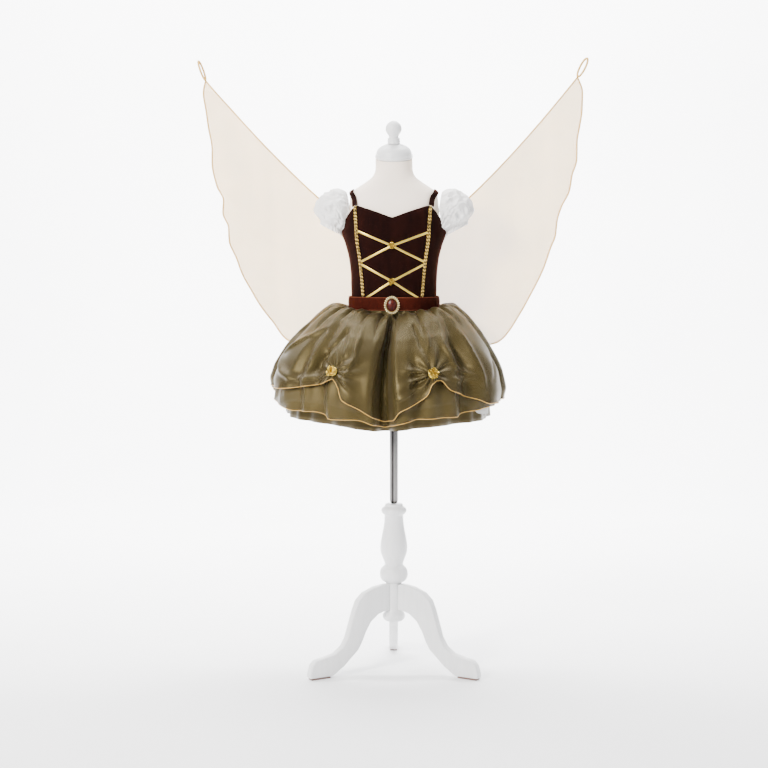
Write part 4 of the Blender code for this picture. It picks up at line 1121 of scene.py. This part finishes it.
def rose_relief(angle, level):
    """Pleats that run together at each rose, and the dimple where it is sewn on."""
    pleat, dimple = 0.0, 0.0
    for _, rose_angle, rose_level in ROSES:
        across = math.radians(wrapped(angle - rose_angle)) * SKIRT_REACH
        up = level - rose_level
        away = math.hypot(across, up)
        if away < 0.13:
            spread = math.atan2(up, across)
            fade = smooth_step(0.004, 0.018, away) * (1 - smooth_step(0.025, 0.085, away))
            pleat += 3.4 * MM * fade * math.cos(9 * spread + 1.7 * math.sin(2 * spread + rose_angle))
            dimple -= 5.0 * MM * math.exp(-((away / 0.022) ** 2))
    return pleat, dimple


def swell(angle, level):
    a = math.radians(angle)
    place = Vector((2.2 * math.sin(a), 2.2 * math.cos(a), 7 * level))
    return noise.noise(place) + 0.5 * noise.noise(place * 2.3)


def layer_relief(layer, angle, v, level):
    """How far the fine folds move this layer's cloth out, and up."""
    name, share = layer[0], layer[5]
    pleat, dimple = rose_relief(angle, level)
    beside = smooth_step(50, 80, abs(angle))
    out = (3.4 + 2.2 * beside) * MM * swell(angle, level) * smooth_step(0.3, 0.6, v)
    out += share * valley_relief(angle, v) + 1.3 * dimple
    if name == "overskirt":
        hem_fade = 1 - 0.7 * smooth_step(0.90, 1.0, v)
        out += pleat + drawn_relief(angle, level) * smooth_step(0.10, 0.2, v) * hem_fade
        out += 1.6 * MM * noise.noise(Vector((angle * 0.22, 0, 3.3))) * smooth_step(0.85, 1.0, v)
        tucked = beside * (1 - smooth_step(118, 140, abs(angle)))
        out -= 8 * MM * tucked * smooth_step(0.86, 1.0, v) ** 2
    elif name == "underskirt":
        folds = math.cos(math.radians(31 * (angle + uneven(angle, 1.9))))
        out += 2.4 * MM * folds * smooth_step(0.45, 0.8, v) - 2.0 * MM * smooth_step(0.3, 0.5, v)
    else:
        folds = math.cos(math.radians(27 * (angle + uneven(angle, 3.1))))
        out += 2.6 * MM * folds * smooth_step(0.3, 0.9, v)
    gathers = share * gather_relief(angle, v)
    lean = smooth_step(0.10, 0.42, v)
    return out + gathers * (0.35 + 0.65 * lean), gathers * (1 - lean)


print("drawn folds:", len(DRAWN_FOLDS))


# %% [markdown]
# Each layer is one closed grid, with its columns twice as close in front, where the folds are
# seen. The overskirt is the finest. Both organza layers end in a rolled hem of gold thread: a
# closed cord along the lower edge.


# %% Skirt layers and their rolled hems
HEM_STEPS = 400
HEM_RADIUS = 0.95 * MM
ORGANZA_WALL = 0.3 * MM


def front_denser(u):
    """The angle for a share of the way round, with the columns twice as close in front."""
    a = 360 * u - 180
    return a - 30 * math.sin(math.radians(a))


def layer_place(layer, angle, v):
    level = skirt_point(layer, angle, v).z
    out, up = layer_relief(layer, angle, v, level)
    point = skirt_point(layer, angle, v, out)
    point.z += up
    return FORM_TURN @ point


LAYER_LOOKS = (
    ("skirt_over", overskirt_finish, "olive_organza", 380, 96),
    ("skirt_under", underskirt_finish, "sheer_organza", 300, 60),
    ("skirt_tulle", tulle_finish, "tulle", 180, 36),
    ("skirt_lining", lining_finish, "olive_satin", 180, 36),
)
for layer, (name, look, slot, columns, rows) in zip(SKIRT_LAYERS, LAYER_LOOKS):
    bm = cloth_bmesh(
        lambda u, v, layer=layer: layer_place(layer, front_denser(u), v), columns, rows, closed=True
    )
    face_out(bm, from_axis)
    give_wall(keep(name, bm, look, slot, layer[0]), ORGANZA_WALL)

for layer, name in ((SKIRT_LAYERS[0], "hem_over"), (SKIRT_LAYERS[1], "hem_under")):
    bm = bmesh.new()
    line = [layer_place(layer, front_denser(k / HEM_STEPS), 1.0) for k in range(HEM_STEPS)]
    cord_bmesh(bm, line, HEM_RADIUS, 6, closed=True)
    keep(name, bm, hem_finish, "gold_braid")


# %% [markdown]
# The two roses sit on the overskirt where it is caught up. The place of each is read from the
# skirt itself, a little inside its surface, and it leans back with the slope of the cloth.


# %% Roses on the skirt
ROSE_WIDTH, ROSE_HEIGHT, ROSE_LEAN = 24 * MM, 12 * MM, math.radians(-12)


def skirt_at(angle, level):
    """The point of the overskirt at this angle and level, found by halving."""
    low, high = UPPER_END, 1.0
    for _ in range(30):
        v = (low + high) / 2
        if skirt_point(SKIRT_LAYERS[0], angle, v).z > level:
            low = v
        else:
            high = v
    return skirt_point(SKIRT_LAYERS[0], angle, v)


for name, angle, level in ROSES:
    reach = max(skirt_at(angle + a, level).xy.length for a in (-3.5, 0, 3.5))
    outward = Vector((*skirt_at(angle, level).xy, 0)).normalized()
    at = outward * (reach - 1.5 * MM) + Vector((0, 0, level))
    turn = math.radians(angle)
    ribbon_rose("ribbon_" + name, name, at, turn, ROSE_LEAN, ROSE_WIDTH, ROSE_HEIGHT, 2.6, 5, angle)
print("roses:", len(ROSES))


# %% [markdown]
# ## Puff sleeves
#
# A puff is a short tube of crisp organza gathered into the armhole and, by an elastic, into
# the cuff, with a small frill below it. Pleats run in from both ends and break up into
# crumples where the tube is widest, which ridged noise gives: sharp creases, soft hollows.


# %% Puffs
# Rings from armhole to cuff: number, distance from the centre, level, tilt in degrees, radius
PUFF_RINGS = (
    (0, 0.104, 1.071, 8, 0.036), (1, 0.111, 1.070, 12, 0.0445), (2, 0.120, 1.067, 22, 0.0500),
    (3, 0.130, 1.062, 34, 0.0515), (4, 0.139, 1.054, 45, 0.0490), (5, 0.1455, 1.041, 58, 0.0425),
    (6, 0.1425, 1.030, 62, 0.0290), (7, 0.1405, 1.021, 63, 0.0300),
)
PUFF_CLEAR = 1.8 * MM


def body_side(y, level):
    half_width, half_depth = read_table(BODICE if level < 1.062 else TORSO, level)
    share = 1 - (abs(y) / half_depth) ** BODY_SQUARENESS
    return half_width * max(share, 0.0) ** (1 / BODY_SQUARENESS)


def puff_crumple(sign, spin, v):
    """Pleats at both ends and ridged crumples between them, in metres."""
    ends = 1 - smooth_step(0.0, 0.35, v) + smooth_step(0.62, 0.86, v)
    pleats = math.cos(26 * spin + 2.2 * math.sin(3 * spin + sign) + 3 * v)
    place = Vector((2.0 * math.cos(spin), 2.0 * math.sin(spin), 5 * v + 3 * sign))
    ridges = 1 - 2.4 * abs(noise.noise(place * 1.5)) + 0.5 * (1 - 2.4 * abs(noise.noise(place * 3.3)))
    frill = smooth_step(0.88, 1.0, v) * math.cos(17 * spin + sign) * 2.4 * MM
    middle = smooth_step(0.05, 0.3, v) * (1 - smooth_step(0.70, 0.86, v))
    return 1.7 * MM * ends * pleats + 4.6 * MM * middle * (ridges - 0.6) + frill


def puff_point(sign, u, v):
    spin = math.tau * u
    x, level, tilt, radius = read_table(PUFF_RINGS, 7 * v)
    up = Vector((math.sin(math.radians(tilt)), 0, math.cos(math.radians(tilt))))
    reach = radius * (1 + 0.03 * math.cos(9 * spin + 7 * v)) + puff_crumple(sign, spin, v)
    spot = Vector((x, 0, level)) + reach * (up * math.cos(spin) + Vector((0, -1, 0)) * math.sin(spin))
    spot.x = max(spot.x, body_side(spot.y, spot.z) + PUFF_CLEAR * (2.6 if spot.z > 1.075 else 1))
    return FORM_TURN @ Vector((sign * spot.x, spot.y, spot.z))


for side, sign in (("left", 1), ("right", -1)):
    bm = cloth_bmesh(lambda u, v, sign=sign: puff_point(sign, u, v), 150, 60, closed=True)
    middle = FORM_TURN @ Vector((sign * 0.132, 0, 1.052))
    face_out(bm, lambda centre, middle=middle: centre - middle)
    puff = keep("organza_puff_" + side, bm, puff_finish, "white_organza", "puff_" + side)
    give_wall(puff, ORGANZA_WALL)


# %% [markdown]
# ## Wings and finger loops
#
# Each wing is one piece of crystal organza sewn to the centre back and held out by a loop over
# the wearer's finger. It hangs from its top edge, so its folds are long, soft and nearly upright,
# and its outer edge flutters where the rolled edge has stretched the bias.


# %% Wings
# Outer edge from tip to lowest point: reach and level of the right wing, then of the left
WING_EDGE = (
    (0.4550, 1.375, 0.4220, 1.378), (0.4590, 1.345, 0.4340, 1.342), (0.4550, 1.310, 0.4330, 1.303),
    (0.4470, 1.264, 0.4280, 1.264), (0.4400, 1.218, 0.4220, 1.225), (0.4380, 1.172, 0.4220, 1.188),
    (0.4290, 1.128, 0.4110, 1.149), (0.4120, 1.093, 0.4050, 1.113), (0.4150, 1.062, 0.3870, 1.076),
    (0.4010, 1.027, 0.3770, 1.043), (0.4000, 0.995, 0.3740, 1.010), (0.3820, 0.951, 0.3620, 0.978),
    (0.3660, 0.909, 0.3450, 0.928), (0.3370, 0.858, 0.3150, 0.868), (0.3010, 0.807, 0.2900, 0.822),
    (0.2530, 0.757, 0.2330, 0.755), (0.1500, 0.745, 0.1400, 0.745), (0.0080, 0.765, 0.0080, 0.765),
)
WING_ROWS = tuple((i, *row) for i, row in enumerate(WING_EDGE))
WING_ROOT_TOP, WING_ROOT_BOTTOM, WING_ROOT_X = 1.005, 0.790, 4.0 * MM
WING_SAG, WING_REACH_BACK = 0.056, 0.132
WING_EDGE_RADIUS = 1.8 * MM
# What the wings keep clear of, skirt and bodice: level, half width, half depth
BEHIND = (
    (0.735, 0.262, 0.230), (0.760, 0.246, 0.212), (0.786, 0.228, 0.189), (0.806, 0.211, 0.163),
    (0.826, 0.193, 0.136), (0.846, 0.160, 0.107), (0.862, 0.120, 0.0900), (0.876, 0.1060, 0.0868),
    (0.900, 0.1010, 0.0806), (0.920, 0.1005, 0.0801), (0.959, 0.1050, 0.0823), (0.990, 0.1130, 0.0843),
    (1.015, 0.1205, 0.0847), (1.040, 0.1200, 0.0831), (1.062, 0.1145, 0.0801),
)


def behind_body(x, level):
    half_width, half_depth = read_table(BEHIND, level)
    share = 1 - (abs(x) / half_width) ** BODY_SQUARENESS
    return half_depth * max(share, 0.0) ** (1 / BODY_SQUARENESS)


def wing_folds(sign, out, level, u):
    """Long hanging folds that grow with the distance out, and a fluttering edge; only backwards."""
    place = Vector((sign * out * 13 + 0.8 * level, level * 1.7, sign * 4.0))
    long_folds = 9 * MM * (noise.noise(place) + 0.45 * noise.noise(place * 2.2) + 0.25)
    flutter = 4.5 * MM * math.sin(level * 75 + 2 * sign) * smooth_step(0.82, 1.0, u)
    return (max(long_folds, -2 * MM) + flutter) * smooth_step(0.13, 0.30, out)


def wing_point(sign, u, v):
    row = read_table(WING_ROWS, v * (len(WING_ROWS) - 1))
    x, level = (row[0], row[1]) if sign < 0 else (row[2], row[3])
    root = lerp(WING_ROOT_TOP, WING_ROOT_BOTTOM, smooth_step(0.0, 1.0, v) ** 0.8)
    sag = WING_SAG * 4 * u * (1 - u) * (1 - v) ** 2
    share = u
    u = u ** 1.5
    out = lerp(WING_ROOT_X, x, u)
    height = lerp(root, level, u) - sag
    flat = lerp(0.070, WING_REACH_BACK, smooth_step(0.0, 0.30, out)) + 4 * MM * math.sin(9 * u + 7 * v)
    gap = flat - behind_body(out, height)
    blend = 12 * MM * smooth_step(0.02, 0.10, out)
    depth = flat - gap / 2 + math.sqrt(gap * gap / 4 + blend ** 2 / 4)
    depth += wing_folds(sign, out, height, share)
    return FORM_TURN @ Vector((sign * out, depth, height))


def to_front(centre):
    return Vector((0, -1, 0))


wings, wing_hems = [], []
for side, sign in (("left", 1), ("right", -1)):
    bm = cloth_bmesh(lambda u, v, sign=sign: wing_point(sign, u, v), 80, 110)
    face_out(bm, to_front)
    wing = keep("organza_wing_" + side, bm, wing_finish, "cream_organza", "wing_" + side)
    wings.append(give_wall(wing, ORGANZA_WALL))
    top = [wing_point(sign, k / 90, 0.0) for k in range(90)]
    outer = [wing_point(sign, 1.0, k / 180) for k in range(180)]
    bottom = [wing_point(sign, 1.0 - k / 50, 1.0) for k in range(51)]
    bm = bmesh.new()
    cord_bmesh(bm, top + outer + bottom[:-1], WING_EDGE_RADIUS, 6, side=Vector((0, 1, 0)))
    wing_hems.append(keep("wing_hem_" + side, bm, wing_edge_finish, "gold_braid"))
print("wings:", len(wings), "edges:", len(wing_hems))


# %% [markdown]
# A finger loop is a closed cord of covered elastic on the tip of each wing. Its oval is made
# upright and then leant outwards, and the right one is turned half edge-on.


# %% Finger loops
LOOP_STEPS = 72
LOOP_HALF_LENGTH, LOOP_HALF_WIDTH, LOOP_RADIUS = 0.0235, 0.0060, 2.5 * MM
for side, sign, lean, turn in (("left", 1, 27, 0), ("right", -1, 20, 62)):
    tip = wing_point(sign, 1.0, 0.0)
    place = (
        Matrix.Translation(tip + Vector((0, 0.5 * MM, 0)))
        @ FORM_TURN
        @ Matrix.Rotation(math.radians(sign * lean), 4, "Y")
        @ Matrix.Translation((0, 0, LOOP_HALF_LENGTH + 1.2 * MM))
        @ Matrix.Rotation(math.radians(turn), 4, "Z")
    )
    eye = []
    for k in range(LOOP_STEPS):
        a = math.tau * k / LOOP_STEPS
        eye.append(place @ Vector((LOOP_HALF_WIDTH * math.cos(a), 0, LOOP_HALF_LENGTH * math.sin(a))))
    bm = bmesh.new()
    cord_bmesh(bm, eye, LOOP_RADIUS, 10, closed=True, side=place.to_3x3() @ Vector((0, 1, 0)))
    keep("elastic_loop_" + side, bm, wing_edge_finish, "elastic", "finger_loop_" + side)
print("finger loops stand up by mm:", round(2 * LOOP_HALF_LENGTH / MM, 1))


# %% [markdown]
# ## Cloth sheets
#
# The cloth sheets are the grids made above; nothing more is declared for them here. Gathered
# layers are cut wider than they hang.


# %% Cloth sheets
print("cloth sheets: the grids made above")


# %% [markdown]
# ## Floor and light
#
# A pale floor sweeps up behind the form into a plain wall. The light is high and soft, a little
# stronger from the left of the picture, with a wide fill from the right and from above.


# %% Stage
def sweep_point(u, v):
    """A floor that turns up into a wall on a wide curve behind the form."""
    along = lerp(-5.0, 8.0, 1 - v)
    turn_at, radius = 2.6, 1.6
    x = lerp(-9.0, 9.0, u)
    if along < turn_at:
        return Vector((x, along, 0))
    arc = min((along - turn_at) / radius, math.pi / 2)
    rise = max(along - turn_at - radius * math.pi / 2, 0.0)
    return Vector((x, turn_at + radius * math.sin(arc), radius * (1 - math.cos(arc)) + rise))


floor_finish = Finish("pale floor")
floor_clouds = floor_finish.noise(floor_finish.place(), 1.5)
pale = floor_finish.ramp(floor_clouds, (0.3, (0.86, 0.86, 0.87)), (0.7, (0.90, 0.90, 0.905)))
floor_finish.set(Base_Color=pale, Roughness=0.65, Specular_IOR_Level=0.3)
bm = cloth_bmesh(sweep_point, 6, 90)
face_out(bm, lambda centre: Vector((0, -1, 1)))
mesh = bpy.data.meshes.new("floor_sweep")
bm.to_mesh(mesh)
bm.free()
mesh.materials.append(floor_finish.material)
mesh.shade_smooth()
floor = bpy.data.objects.new("floor_sweep", mesh)
bpy.context.scene.collection.objects.link(floor)

world = bpy.data.worlds.new("soft_day")
world.use_nodes = True
sky = world.node_tree.nodes["Background"]
sky.inputs["Color"].default_value = (0.93, 0.95, 1.0, 1.0)
sky.inputs["Strength"].default_value = 0.70
bpy.context.scene.world = world


def area_light(name, place, aim, size, power, colour=(1, 1, 1)):
    light = bpy.data.lights.new(name, "AREA")
    light.shape = "RECTANGLE"
    light.size, light.size_y = size
    light.energy = power
    light.color = colour
    lamp = bpy.data.objects.new(name, light)
    lamp.location = place
    lamp.rotation_euler = (Vector(aim) - Vector(place)).to_track_quat("-Z", "Y").to_euler()
    bpy.context.scene.collection.objects.link(lamp)


area_light("key", (-2.3, -2.9, 2.5), (0, 0, 0.95), (0.9, 0.9), 350, (1.0, 0.975, 0.94))
area_light("fill", (3.2, -2.4, 1.6), (0, 0, 0.9), (1.8, 1.8), 35, (0.96, 0.98, 1.0))
area_light("top", (0, 0.6, 3.4), (0, 0, 0.8), (2.2, 1.6), 150)
area_light("wall_wash", (0, 1.2, 3.2), (0, 4.0, 1.2), (6.0, 1.2), 1450)
print("lights:", len(bpy.data.lights))
